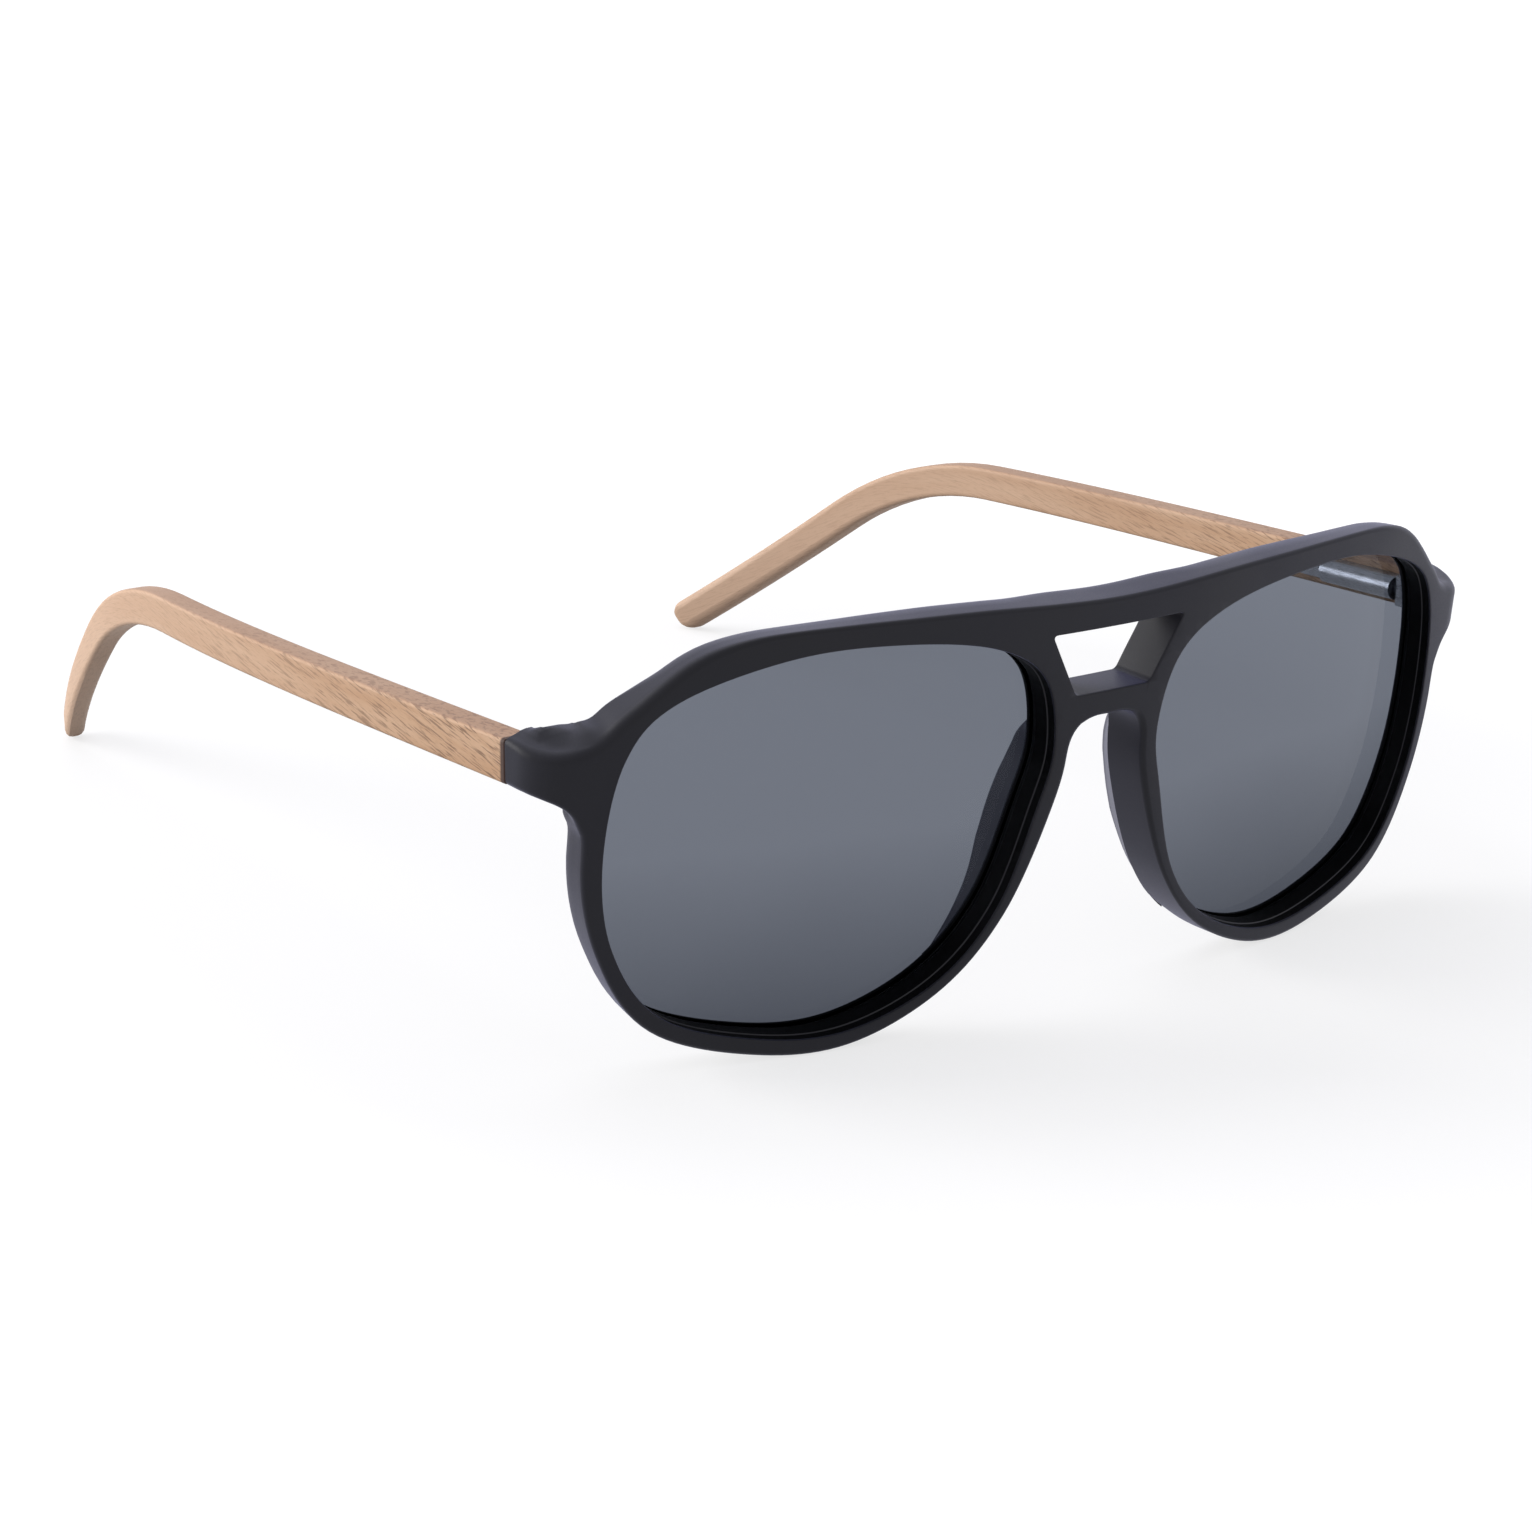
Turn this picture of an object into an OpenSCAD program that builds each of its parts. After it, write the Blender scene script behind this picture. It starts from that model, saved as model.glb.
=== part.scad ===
// Sunglasses: a moulded double-bridge front, tinted lenses and wooden temples on spring hinges.
// X runs across the front, Y from front to back and Z up. Left is the wearer's left, at +X.
// The rims and the temple tips stand on Z = 0, with the origin under the middle of the object.

/* [Front] */
// Width of a lens opening, measured along the curved front
lens_w = 54.8; // [52:0.2:58]
// Height of a lens opening
lens_h = 45.8; // [42:0.2:50]
// Distance between the two lens openings
bridge_w = 15.8; // [14:0.2:18]
// Width of the rim along the brow, seen from the front
rim_w = 2.7; // [2.4:0.1:3]
// Depth of the rim from front to back
rim_depth = 5.2; // [5.2:0.1:6]
// Radius of the front's wrap, seen from above
wrap_r = 199; // [190:1:230]
// Forward lean of the front as it stands
front_lean = 4.2; // [2:0.2:6]

/* [Bridge] */
// Height of the brow bar over the bridge window
brow_bar_h = 3.2; // [2.6:0.1:4]
// Height of the lower bridge under the window
lower_bridge_h = 3; // [2.2:0.1:3.4]
// Width of the bridge window along its top edge
window_top_w = 19.5; // [16:0.5:20]
// Width of the bridge window along its bottom edge
window_bottom_w = 11; // [9:0.5:11.5]

/* [End pieces] */
// Height of the hinges above the bottom of the lens openings
hinge_up = 33.4; // [32:0.2:34]
// Straight run of the front past the rim, before it turns back
sweep_run = 2.15; // [1.6:0.1:3]
// Outer radius where an end piece turns back to its temple
sweep_r = 6; // [5:0.25:7]
// Length of an end piece after the turn
sweep_end = 1.8; // [1.4:0.1:3]

/* [Lenses] */
// Thickness of a lens
lens_t = 1.1; // [0.9:0.1:1.1]
// Distance from the front of the rim back to a lens
lens_recess = 3.4; // [2.8:0.1:3.4]
// Depth to which a lens enters its groove in the rim
groove_depth = 0.6; // [0.4:0.1:0.9]

/* [Nose pads] */
// Greatest depth of a nose pad behind the rim
pad_depth = 3.5; // [2.4:0.1:3.8]
// Thickness of a nose pad at its back edge
pad_t = 1.4; // [1:0.1:1.6]
// Distance from a lens opening to the middle of its pad's back edge, towards the nose
pad_edge = 0.9; // [0.5:0.1:1]

/* [Temples] */
// Length of a temple's straight part
straight_l = 78.5; // [74:0.5:86]
// Height of a temple at its hinge
temple_h = 5; // [4.8:0.1:5.6]
// Height of a temple where its bend starts
bend_h = 4.4; // [4:0.1:5]
// Height of a temple at its tip
tip_h = 4.4; // [4:0.1:5]
// Thickness of a temple at its hinge
temple_t = 3.8; // [3.6:0.1:4.2]
// Thickness of a temple at its tip
tip_t = 3; // [2.6:0.1:3.4]
// Slope of the straight part down towards the tip
temple_drop = 3.3; // [2:0.1:4]
// Radius of the bend over the ear
bend_r = 45; // [40:1:50]
// Angle through which the tip bends down
bend_a = 36; // [34:1:42]
// Even inward lean of a temple from hinge to tip
lean_in = 2; // [1:0.25:3]
// Further inward curve of a temple, gathered near its tip
curve_in = 17; // [12:0.5:18]

/* [Hinges] */
// Diameter of the hinge knuckles
knuckle_d = 2.5; // [2.3:0.1:2.6]
// Height of the slider's middle knuckle
middle_knuckle_h = 1.4; // [1.4:0.1:1.6]
// Height of each knuckle on the front leaf
leaf_knuckle_h = 1.05; // [0.9:0.05:1.1]
// Depth to which a front leaf is sunk into its end piece
leaf_sunk = 3; // [2.4:0.1:3.2]
// Diameter of the hinge screw's shank
screw_d = 1.1; // [1:0.05:1.2]
// Diameter of the hinge screw's head
screw_head_d = 1.9; // [1.7:0.1:1.9]
// Height of the hinge screw's head
screw_head_h = 0.45; // [0.35:0.05:0.5]

/* [Spring units] */
// Length of a spring housing's box
housing_l = 12; // [11.5:0.25:13]
// Depth to which a housing is let into its temple
housing_sunk = 0.7; // [0.5:0.1:0.9]
// Length of a housing's screwed tongue
tongue_l = 5.4; // [5:0.1:6]
// Diameter of the slider's rod
rod_d = 1.2; // [1.1:0.05:1.25]
// Diameter of the spring's wire
wire_d = 0.32; // [0.26:0.02:0.34]
// Number of turns in a spring
spring_turns = 9; // [6:1:9]
// Diameter of a wood screw's shank
wood_screw_d = 1; // [0.8:0.05:1.1]

/* [Clearances] */
// Gap round a part that turns or slides
run_gap = 0.05; // [0.03:0.01:0.06]
// Gap round a part that is glued, pressed or screwed in
seat_gap = 0.02; // [0.01:0.01:0.03]
// Gap between a temple and its end piece
joint_gap = 0.15; // [0.1:0.05:0.3]

/* [Hidden] */
$fn = 64;

// Facets on the wide curves of the front
wide_fn = 360;
// Points along each stretch of an outline
curve_steps = 5;
// Room left for a cut or an extrusion that runs past the solid
past = 12;
// How far joined parts of one solid run into each other
bite = 2;

// A lens opening's outline, in parts of its width from the nose and of its height
opening_shape = [
    [1, 0.51], [0.97, 0.762], [0.869, 0.9], [0.63, 0.988], [0.385, 0.996], [0.169, 0.955],
    [0.042, 0.86], [0, 0.68], [0.029, 0.514], [0.101, 0.271], [0.23, 0.106], [0.427, 0.012],
    [0.629, 0.018], [0.852, 0.101], [0.965, 0.281]
];
// Width of the rim beside each of those points, in parts of its width along the brow
rim_parts = [0.93, 0.85, 0.86, 1, 1, 1, 0.83, 0.83, 0.9, 0.57, 0.57, 0.72, 0.8, 0.8, 0.75];
// How far the brow bar dips in the middle
brow_dip = 0.8;
// Top of the brow bar: parts of a lens width from its nose edge, and the fall below the brow
brow_bar = [[0.15, 0.4], [0.4, 0.2]];
// Arch under the lower bridge: parts of the way from the nose edge to the middle, and the fall
bridge_arch = [[0.1, 2.6], [0.33, 2.6], [0.4, 1.4], [0.55, 0.4], [0.75, 0], [1, 0]];
// Blends of an end piece into the rim, measured from the rim's edge and the end piece's own edges
end_top_blend = [[-4.1, 2.9], [-2.5, 1.3], [-0.7, 0.3], [1.8, 0]];
end_low_blend = [[4.2, -0.4], [2.6, -1.2], [1.2, -2.4], [0.3, -4], [-0.1, -5.6], [-4.3, -5.6]];
// Underside of the lower bridge, in parts of the lens height
lower_bridge_v = 0.74;
// Stretch of the rim that carries a nose pad, in parts of the lens height
pad_low_v = 0.12;
pad_high_v = 0.72;
// Depth of a nose pad along that stretch from its low end, in parts of its greatest depth
pad_form = [[0, 0.14], [0.13, 0.38], [0.34, 0.71], [0.45, 0.92], [0.56, 0.99], [0.64, 1],
    [0.74, 0.955], [0.83, 0.82], [0.9, 0.66], [1, 0.2]];
// Steps round a nose pad's back edge
pad_round = 4;
// End piece above and below its temple
end_over = 0.2;
end_under = 0.1;
// Height of the lower blend that turns back with an end piece
end_blend = 1.2;
// Slope of the top face outside the line from the rim to the joint
end_slope = 38;
// Angle to which an end piece turns back
sweep_a = 84;
// Start of the end piece, past the lens opening
sweep_from = 1.9;

// Point on a smooth curve between b and c, with a and d beyond them
function curve_point(a, b, c, d, t) = 0.5 * (2 * b + (c - a) * t
    + (2 * a - 5 * b + 4 * c - d) * t * t + (3 * b - a - 3 * c + d) * t * t * t);

// Smooth closed outline through the given points
function closed_curve(p) = let (m = len(p))
    [for (i = [0:m - 1], k = [0:curve_steps - 1])
        curve_point(p[(i + m - 1) % m], p[i], p[(i + 1) % m], p[(i + 2) % m], k / curve_steps)];

// A closed outline moved outwards by the widths in d
function grown(p, d) = let (m = len(p))
    [for (i = [0:m - 1])
        let (t = p[(i + 1) % m] - p[(i + m - 1) % m])
        p[i] + d[i] * [t[1], -t[0]] / norm(t)];

// Distance across the front of a point at arc length s from the middle
function flat_x(s) = wrap_r * sin(s / wrap_r * 180 / PI);

// Depth of a wrapped surface of radius r at distance x from the middle
function wrap_y(r, x) = wrap_r - sqrt(r * r - x * x);

// The left lens opening and the rim's width along it, seen square on to the lens
opening_curve = closed_curve([for (p = opening_shape) [(p[0] - 0.5) * lens_w, p[1] * lens_h]]);
rim_widths = rim_w * closed_curve(rim_parts);
lens_s = bridge_w / 2 + lens_w / 2;
lens_a = lens_s / wrap_r * 180 / PI;

// Outline of the left lens opening seen from the front, moved outwards by d
function opening(d) = [for (p = grown(opening_curve, [for (w = rim_widths) d]))
    [flat_x(lens_s + p[0]), p[1]]];

// Outline of a rim seen square on to its lens, with the given widths round the opening
function rim(widths) = [for (p = grown(opening_curve, widths)) [flat_x(p[0]), p[1]]];

brow_top = lens_h + rim_w;
lower_bridge_z = lower_bridge_v * lens_h;
window_low = lower_bridge_z + lower_bridge_h;
window_high = brow_top - brow_dip - brow_bar_h;
rim_edge_x = flat_x(bridge_w / 2 + lens_w + rim_w);
end_high = hinge_up + temple_h / 2 + end_over;
end_low = hinge_up - temple_h / 2 - end_under;

// Path of the front's outer face from the rim to the joint with the temple
sweep_a0 = (bridge_w / 2 + lens_w + sweep_from) / wrap_r * 180 / PI;
sweep_p0 = wrap_r * [sin(sweep_a0), 1 - cos(sweep_a0)];
sweep_p1 = sweep_p0 + sweep_run * [cos(sweep_a0), sin(sweep_a0)];
sweep_steps = 12;
sweep_arc = [for (k = [0:sweep_steps])
    let (a = sweep_a0 + (sweep_a - sweep_a0) * k / sweep_steps)
    sweep_p1 + sweep_r * [sin(a) - sin(sweep_a0), cos(sweep_a0) - cos(a)]];
joint_p = sweep_arc[sweep_steps] + sweep_end * [cos(sweep_a), sin(sweep_a)];

// The joint's middle once the front leans forward
joint_y = joint_p[1] * cos(front_lean) - hinge_up * sin(front_lean);
joint_z = joint_p[1] * sin(front_lean) + hinge_up * cos(front_lean);

// Hinge sizes, in a frame whose u runs outwards, v along the temple and w along the screw
knuckle_r = knuckle_d / 2;
knuckle_room = 0.25;
axis_in = knuckle_r + knuckle_room;
axis_x = joint_p[0] - temple_t - axis_in;
leaf_back = knuckle_r + 0.35;
leaf_side = 0.3;
leaf_overlap = 0.5;
stack_h = middle_knuckle_h + 2 * leaf_knuckle_h + 2 * run_gap;
screw_r = screw_d / 2;
screw_head_r = screw_head_d / 2;
slot_w = 0.3;
slot_depth = 0.2;

// Spring unit sizes, measured along v from the hinge axis
housing_v = leaf_back;
housing_wall = 1;
housing_r = knuckle_r + 0.2;
housing_h = 2 * housing_r;
housing_out = axis_in + housing_sunk;
cavity_r = housing_r - 0.3;
cavity_v = housing_v + housing_wall;
cavity_l = housing_l - housing_wall - 0.6;
tongue_t = housing_sunk + 0.6;
stop_l = 1.2;
stop_v = cavity_v + cavity_l - 2.8;
stop_r = cavity_r - 0.1;
rod_r = rod_d / 2;
stud_r = rod_r - 0.2;
stud_l = stop_l + 0.2;
spring_r = (rod_r + cavity_r) / 2;
spring_sides = 6;
turn_steps = 14;
spring_from = cavity_v + wire_d / 2 + seat_gap;
spring_to = stop_v - wire_d / 2;
wood_screw_r = wood_screw_d / 2;
wood_screw_head_r = wood_screw_r + 0.3;
wood_screw_head_h = 0.4;
wood_screw_bite = 1.7;
wood_screw_places = [1.5, 3.9];

// Floor under the rims, and the tip length that brings the temple tips down to it
floor_z = min([for (p = grown(opening_curve, rim_widths))
    p[1] * cos(front_lean) + wrap_y(wrap_r, flat_x(lens_s + p[0])) * sin(front_lean)]);
bend_v = straight_l + bend_r * sin(bend_a);
bend_w = bend_r * (1 - cos(bend_a));
tip_l = (joint_z - floor_z - tip_h / 2 - bend_v * sin(temple_drop) - bend_w * cos(temple_drop))
    / sin(bend_a + temple_drop);
tip_v = bend_v + tip_l * cos(bend_a);
tip_w = -bend_w - tip_l * sin(bend_a);
front_y = -(brow_top - brow_dip) * sin(front_lean);
back_y = joint_y + tip_v * cos(temple_drop) + tip_w * sin(temple_drop) + tip_h / 2;
mid_y = (front_y + back_y) / 2;

// Stations along a temple's middle line: place along v, height w, slope and height of the section
bend_steps = 12;
temple_stations = concat(
    [[joint_gap, 0, 0, temple_h], [straight_l, 0, 0, bend_h]],
    [for (k = [1:bend_steps]) let (a = bend_a * k / bend_steps)
        [straight_l + bend_r * sin(a), -bend_r * (1 - cos(a)), a, bend_h]],
    [[tip_v, tip_w, bend_a, tip_h]]);
plan_steps = 24;
round_steps = 8;

// Outline of a temple seen from the side
function temple_side() = concat(
    [for (s = temple_stations) [s[0], s[1]] + s[3] / 2 * [sin(s[2]), cos(s[2])]],
    [for (k = [1:round_steps - 1]) let (a = bend_a + 180 * k / round_steps)
        [tip_v, tip_w] + tip_h / 2 * [sin(a), cos(a)]],
    [for (i = [len(temple_stations) - 1:-1:0]) let (s = temple_stations[i])
        [s[0], s[1]] - s[3] / 2 * [sin(s[2]), cos(s[2])]]);

// Face of a temple seen from above: side is 1 for the outer face and -1 for the inner one
function temple_face(q, side) = [
    axis_in + temple_t / 2 - lean_in * q - curve_in * pow(q, 4)
        + side * (temple_t + (tip_t - temple_t) * q) / 2,
    q * (tip_v + tip_h)];

// Outline of a temple seen from above
function temple_plan() = concat(
    [for (k = [0:plan_steps]) temple_face(k / plan_steps, 1)],
    [for (k = [plan_steps:-1:0]) temple_face(k / plan_steps, -1)]);

// Point i on the spring's middle line, and a ring of points round it
function spring_angle(i) = 360 * i / turn_steps;
function spring_mid(i) = let (a = spring_angle(i))
    [spring_r * cos(a), spring_from + (spring_to - spring_from) * i / (spring_turns * turn_steps),
        spring_r * sin(a)];
function spring_ring(i) = let (a = spring_angle(i))
    [for (k = [0:spring_sides - 1]) let (b = 360 * k / spring_sides)
        spring_mid(i) + wire_d / 2 * (cos(b) * [cos(a), 0, sin(a)] + sin(b) * [0, 1, 0])];
spring_gap = (spring_to - spring_from) / spring_turns - wire_d;
echo(spring_gap_between_turns = spring_gap);

// Moves the whole object onto its origin
module in_place() {
    translate([0, -mid_y, -floor_z]) children();
}

// Draws the left side's pieces as they are, or mirrored for the right side
module on_side(side) {
    mirror([side < 0 ? 1 : 0, 0, 0]) children();
}

// Puts pieces drawn about the left hinge axis where they belong on the front
module hinge_place() {
    translate([axis_x, joint_y, joint_z]) rotate([-temple_drop, 0, 0]) children();
}

// Puts pieces drawn about the left hinge axis where they belong in the whole object
module at_hinge() {
    in_place() hinge_place() children();
}

// Turns a front view into a body that runs from front to back
module through_front() {
    translate([0, lens_w, 0]) rotate([90, 0, 0]) linear_extrude(lens_w + past) children();
}

// Body between two depths behind the wrapped front face
module wrap_layer(from, to) {
    translate([0, wrap_r, -past]) difference() {
        cylinder(r = wrap_r - from, h = lens_h + 2 * past, $fn = wide_fn);
        translate([0, 0, -bite]) cylinder(r = wrap_r - to, h = lens_h + 3 * past, $fn = wide_fn);
    }
}

// Turns an outline seen square on to the left lens into a body that runs from front to back
module through_lens() {
    translate([0, wrap_r, 0]) rotate([0, 0, lens_a]) translate([0, -wrap_r, 0]) through_front() children();
}

// Half of the double bridge, seen from the front
module bridge_view() {
    polygon(concat(
        [[0, brow_top - brow_dip]],
        [for (p = brow_bar) [flat_x(bridge_w / 2 + p[0] * lens_w), brow_top - p[1]]],
        [[flat_x(bridge_w / 2 + brow_bar[1][0] * lens_w), lens_h]],
        [for (p = bridge_arch) [flat_x(bridge_w / 2 * (1 - p[0])), lower_bridge_z - p[1]]]));
}

// Half of the window between the two bridges, seen from the front
module window_view() {
    polygon([
        [-bite, window_low], [window_bottom_w / 2, window_low],
        [window_top_w / 2, window_high], [-bite, window_high]
    ]);
}

// An end piece, seen from the front, with its blends into the rim
module end_view() {
    polygon(concat(
        [for (p = end_top_blend) [rim_edge_x + p[0], end_high + p[1]]],
        [[joint_p[0] + past, end_high], [joint_p[0] + past, end_low], [joint_p[0], end_low]],
        [for (p = end_low_blend) [rim_edge_x + p[0], end_low + p[1]]]));
}

// The rim, half bridge and end piece of the left half
module half_front() {
    intersection() {
        wrap_layer(0, rim_depth);
        union() {
            through_lens() polygon(rim(rim_widths));
            through_front() bridge_view();
            through_front() intersection() {
                end_view();
                square([sweep_p0[0], lens_h]);
            }
        }
    }
    end_piece();
}

// The outer end of an end piece, swept back to the joint, with its sloping top face
module end_piece() {
    back = joint_p[1] + bite;
    inner_x = sweep_p0[0] - bite;
    inner_y = wrap_y(wrap_r - rim_depth, inner_x);
    top = end_high + end_top_blend[2][1];
    low = end_low - end_blend;
    run = joint_p - sweep_p0;
    difference() {
        intersection() {
            through_front() end_view();
            translate([0, 0, low]) linear_extrude(top - low) polygon(concat(
                [[inner_x, sweep_p0[1] + bite], sweep_p0],
                sweep_arc,
                [joint_p + bite * [cos(sweep_a), sin(sweep_a)], [axis_x - knuckle_r - bite, back],
                    [inner_x, inner_y - leaf_side]]));
        }
        translate([sweep_p0[0], sweep_p0[1], end_high]) rotate([0, 0, atan2(run[1], run[0])])
            rotate([end_slope, 0, 0]) translate([0, -past, 0]) cube([norm(run), past, past]);
        through_lens() polygon(rim(0 * rim_widths));
    }
}

// Room cut out of the front for the left hinge, and the flat end that meets the temple
module hinge_room() {
    room_h = temple_h + 4 * end_blend;
    step_u = knuckle_r + leaf_side;
    translate([step_u, 0, -room_h / 2]) cube([past, past, room_h]);
    translate([-past, -leaf_back, -room_h / 2]) cube([past + step_u, past, room_h]);
    leaf_block(seat_gap);
}

// Block of a front leaf that is sunk into the end piece, with a gap all round
module leaf_block(gap) {
    translate([-knuckle_r - gap, -leaf_back - leaf_sunk - gap, -stack_h / 2 - gap])
        cube([knuckle_d + 2 * gap, leaf_sunk + 2 * gap, stack_h + 2 * gap]);
}

// Moulded front with rims, double bridge, lens grooves and end pieces
module front_frame() {
    color("#2b2b32") in_place() difference() {
        rotate([front_lean, 0, 0]) difference() {
            for (side = [1, -1]) on_side(side) half_front();
            for (side = [1, -1]) on_side(side) {
                intersection() {
                    wrap_layer(-bite, rim_depth + leaf_side);
                    through_front() polygon(opening(0));
                }
                through_front() window_view();
                intersection() {
                    wrap_layer(lens_recess - run_gap, lens_recess + lens_t + run_gap);
                    through_front() polygon(opening(groove_depth + run_gap));
                }
            }
        }
        for (side = [1, -1]) on_side(side) hinge_place() hinge_room();
    }
}

// Tinted lens, snapped into the rim's groove
module lens(side) {
    color("#70757e") on_side(side) in_place() rotate([front_lean, 0, 0]) intersection() {
        wrap_layer(lens_recess, lens_recess + lens_t);
        through_front() polygon(opening(groove_depth));
    }
}

// Ring of points round a nose pad beside point i of the opening, at a share of its greatest depth
function pad_ring(i, share) = let (
    m = len(opening_curve),
    t = opening_curve[(i + 1) % m] - opening_curve[(i + m - 1) % m],
    out = [t[1], -t[0]] / norm(t),
    r = pad_t / 2 * min(1, 2 * share),
    mid = pad_depth * share - r,
    base = rim_widths[i] - out[0] * rim_depth * tan(lens_a),
    section = concat(
        [[base, seat_gap]],
        [for (k = [0:pad_round]) let (a = 180 * k / pad_round)
            [pad_edge + r * cos(a), mid + r * sin(a)]],
        [[0, seat_gap]]))
    [for (q = section) let (p = opening_curve[i] + q[0] * out, x = flat_x(lens_s + p[0]))
        [x, wrap_y(wrap_r - rim_depth, x) + q[1], p[1]]];

// Nose pad bonded to the back of the rim beside the nose
module nose_pad(side) {
    picked = [for (i = [0:len(opening_curve) - 1])
        if (opening_curve[i][0] < -lens_w / 6
            && opening_curve[i][1] > pad_low_v * lens_h
            && opening_curve[i][1] < pad_high_v * lens_h) i];
    last = len(picked) - 1;
    low = opening_curve[picked[last]][1];
    high = opening_curve[picked[0]][1];
    n = pad_round + 3;
    points = [for (i = picked, p = pad_ring(i,
        lookup((opening_curve[i][1] - low) / (high - low), pad_form))) p];
    walls = [for (j = [0:last - 1], k = [0:n - 1], half = [0, 1])
        let (a = j * n + k, b = j * n + (k + 1) % n)
        half == 0 ? [a, a + n, b] : [b, a + n, b + n]];
    caps = [for (k = [1:n - 2], end = [0, 1])
        end == 0 ? [0, k, k + 1] : last * n * [1, 1, 1] + [0, k + 1, k]];
    color("#26262c") on_side(side) in_place() rotate([front_lean, 0, 0])
        polyhedron(points, concat(walls, caps), convexity = 6);
}

// Wooden temple with the recess and pilot holes for its spring housing
module temple(side) {
    color("#c8a582") on_side(side) at_hinge() difference() {
        intersection() {
            translate([-lens_w, 0, 0]) rotate([90, 0, 90]) linear_extrude(2 * lens_w)
                polygon(temple_side());
            translate([0, 0, -lens_w]) linear_extrude(2 * lens_w) polygon(temple_plan());
        }
        translate([0, housing_v - seat_gap, -housing_h / 2 - seat_gap])
            cube([housing_out + seat_gap, housing_l + tongue_l + 2 * seat_gap, housing_h + 2 * seat_gap]);
        for (p = wood_screw_places)
            translate([0, housing_v + housing_l + p, 0]) rotate([0, 90, 0])
                cylinder(r = wood_screw_r + seat_gap, h = housing_out + wood_screw_bite + seat_gap);
    }
}

// Front half of a hinge: a sunk block and two knuckles
module front_leaf(side) {
    color("silver") on_side(side) at_hinge() difference() {
        union() {
            leaf_block(0);
            for (up = [0, 1]) mirror([0, 0, up])
                translate([0, 0, middle_knuckle_h / 2 + run_gap]) {
                    cylinder(r = knuckle_r, h = leaf_knuckle_h);
                    translate([-knuckle_r, -leaf_back - leaf_overlap, 0])
                        cube([knuckle_d, leaf_back + leaf_overlap, leaf_knuckle_h]);
                }
        }
        translate([0, 0, -stack_h]) cylinder(r = screw_r + run_gap, h = 2 * stack_h);
        translate([0, 0, stack_h / 2 - screw_head_h - run_gap])
            cylinder(r = screw_head_r + run_gap, h = stack_h);
    }
}

// Hinge screw with a slotted head
module hinge_screw(side) {
    color("gainsboro") on_side(side) at_hinge() difference() {
        union() {
            translate([0, 0, -stack_h / 2]) cylinder(r = screw_r, h = stack_h - screw_head_h / 2);
            translate([0, 0, stack_h / 2 - screw_head_h]) cylinder(r = screw_head_r, h = screw_head_h);
        }
        translate([-screw_head_d, -slot_w / 2, stack_h / 2 - slot_depth])
            cube([2 * screw_head_d, slot_w, stack_h]);
    }
}

// Middle knuckle with the rod that runs through the spring
module hinge_slider(side) {
    color("silver") on_side(side) at_hinge() difference() {
        union() {
            translate([0, 0, -middle_knuckle_h / 2]) cylinder(r = knuckle_r, h = middle_knuckle_h);
            rotate([-90, 0, 0]) cylinder(r = rod_r, h = stop_v);
            translate([0, stop_v - stud_l, 0]) rotate([-90, 0, 0])
                cylinder(r = stud_r, h = 2 * stud_l);
        }
        translate([0, 0, -stack_h]) cylinder(r = screw_r + run_gap, h = 2 * stack_h);
    }
}

// Collar fixed on the end of the slider's rod
module slider_stop(side) {
    color("goldenrod") on_side(side) at_hinge() translate([0, stop_v + seat_gap, 0])
        rotate([-90, 0, 0]) difference() {
            cylinder(r = stop_r, h = stop_l);
            translate([0, 0, -bite]) cylinder(r = stud_r + seat_gap, h = stop_l + 2 * bite);
        }
}

// Coil spring between the housing's front wall and the stop
module hinge_spring(side) {
    rings = spring_turns * turn_steps;
    points = [for (i = [0:rings], p = spring_ring(i)) p];
    first_cap = [for (k = [0:spring_sides - 1]) k];
    last_cap = [for (k = [spring_sides - 1:-1:0]) rings * spring_sides + k];
    walls = [for (i = [0:rings - 1], k = [0:spring_sides - 1])
        let (n = (k + 1) % spring_sides, a = i * spring_sides, b = a + spring_sides)
        [a + k, b + k, b + n, a + n]];
    color("lightsteelblue") on_side(side) at_hinge()
        polyhedron(points, concat([first_cap], walls, [last_cap]), convexity = 10);
}

// Metal housing of the spring, with a tongue screwed to the temple
module spring_housing(side) {
    color("darkgray") on_side(side) at_hinge() difference() {
        union() {
            translate([0, housing_v, 0]) rotate([-90, 0, 0]) cylinder(r = housing_r, h = housing_l);
            translate([0, housing_v, -housing_h / 2]) cube([housing_out, housing_l, housing_h]);
            translate([housing_out - tongue_t, housing_v, -housing_h / 2])
                cube([tongue_t, housing_l + tongue_l, housing_h]);
        }
        translate([0, housing_v - bite, 0]) rotate([-90, 0, 0])
            cylinder(r = rod_r + run_gap, h = housing_wall + 2 * bite);
        translate([0, cavity_v, 0]) rotate([-90, 0, 0]) cylinder(r = cavity_r, h = cavity_l);
        for (p = wood_screw_places)
            translate([housing_out, housing_v + housing_l + p, 0]) rotate([0, 90, 0]) {
                translate([0, 0, -past]) cylinder(r = wood_screw_r + seat_gap, h = 2 * past);
                translate([0, 0, -tongue_t - past + wood_screw_head_h])
                    cylinder(r = wood_screw_head_r + seat_gap, h = past);
            }
    }
}

// Two wood screws that hold a housing to its temple
module housing_screws(side) {
    color("gainsboro") on_side(side) at_hinge() for (p = wood_screw_places)
        translate([housing_out - tongue_t, housing_v + housing_l + p, 0]) rotate([0, 90, 0]) difference() {
            union() {
                cylinder(r = wood_screw_r, h = tongue_t + wood_screw_bite);
                cylinder(r = wood_screw_head_r, h = wood_screw_head_h - seat_gap);
            }
            translate([-slot_w / 2, -past, -past]) cube([slot_w, 2 * past, past + slot_depth]);
        }
}

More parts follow.
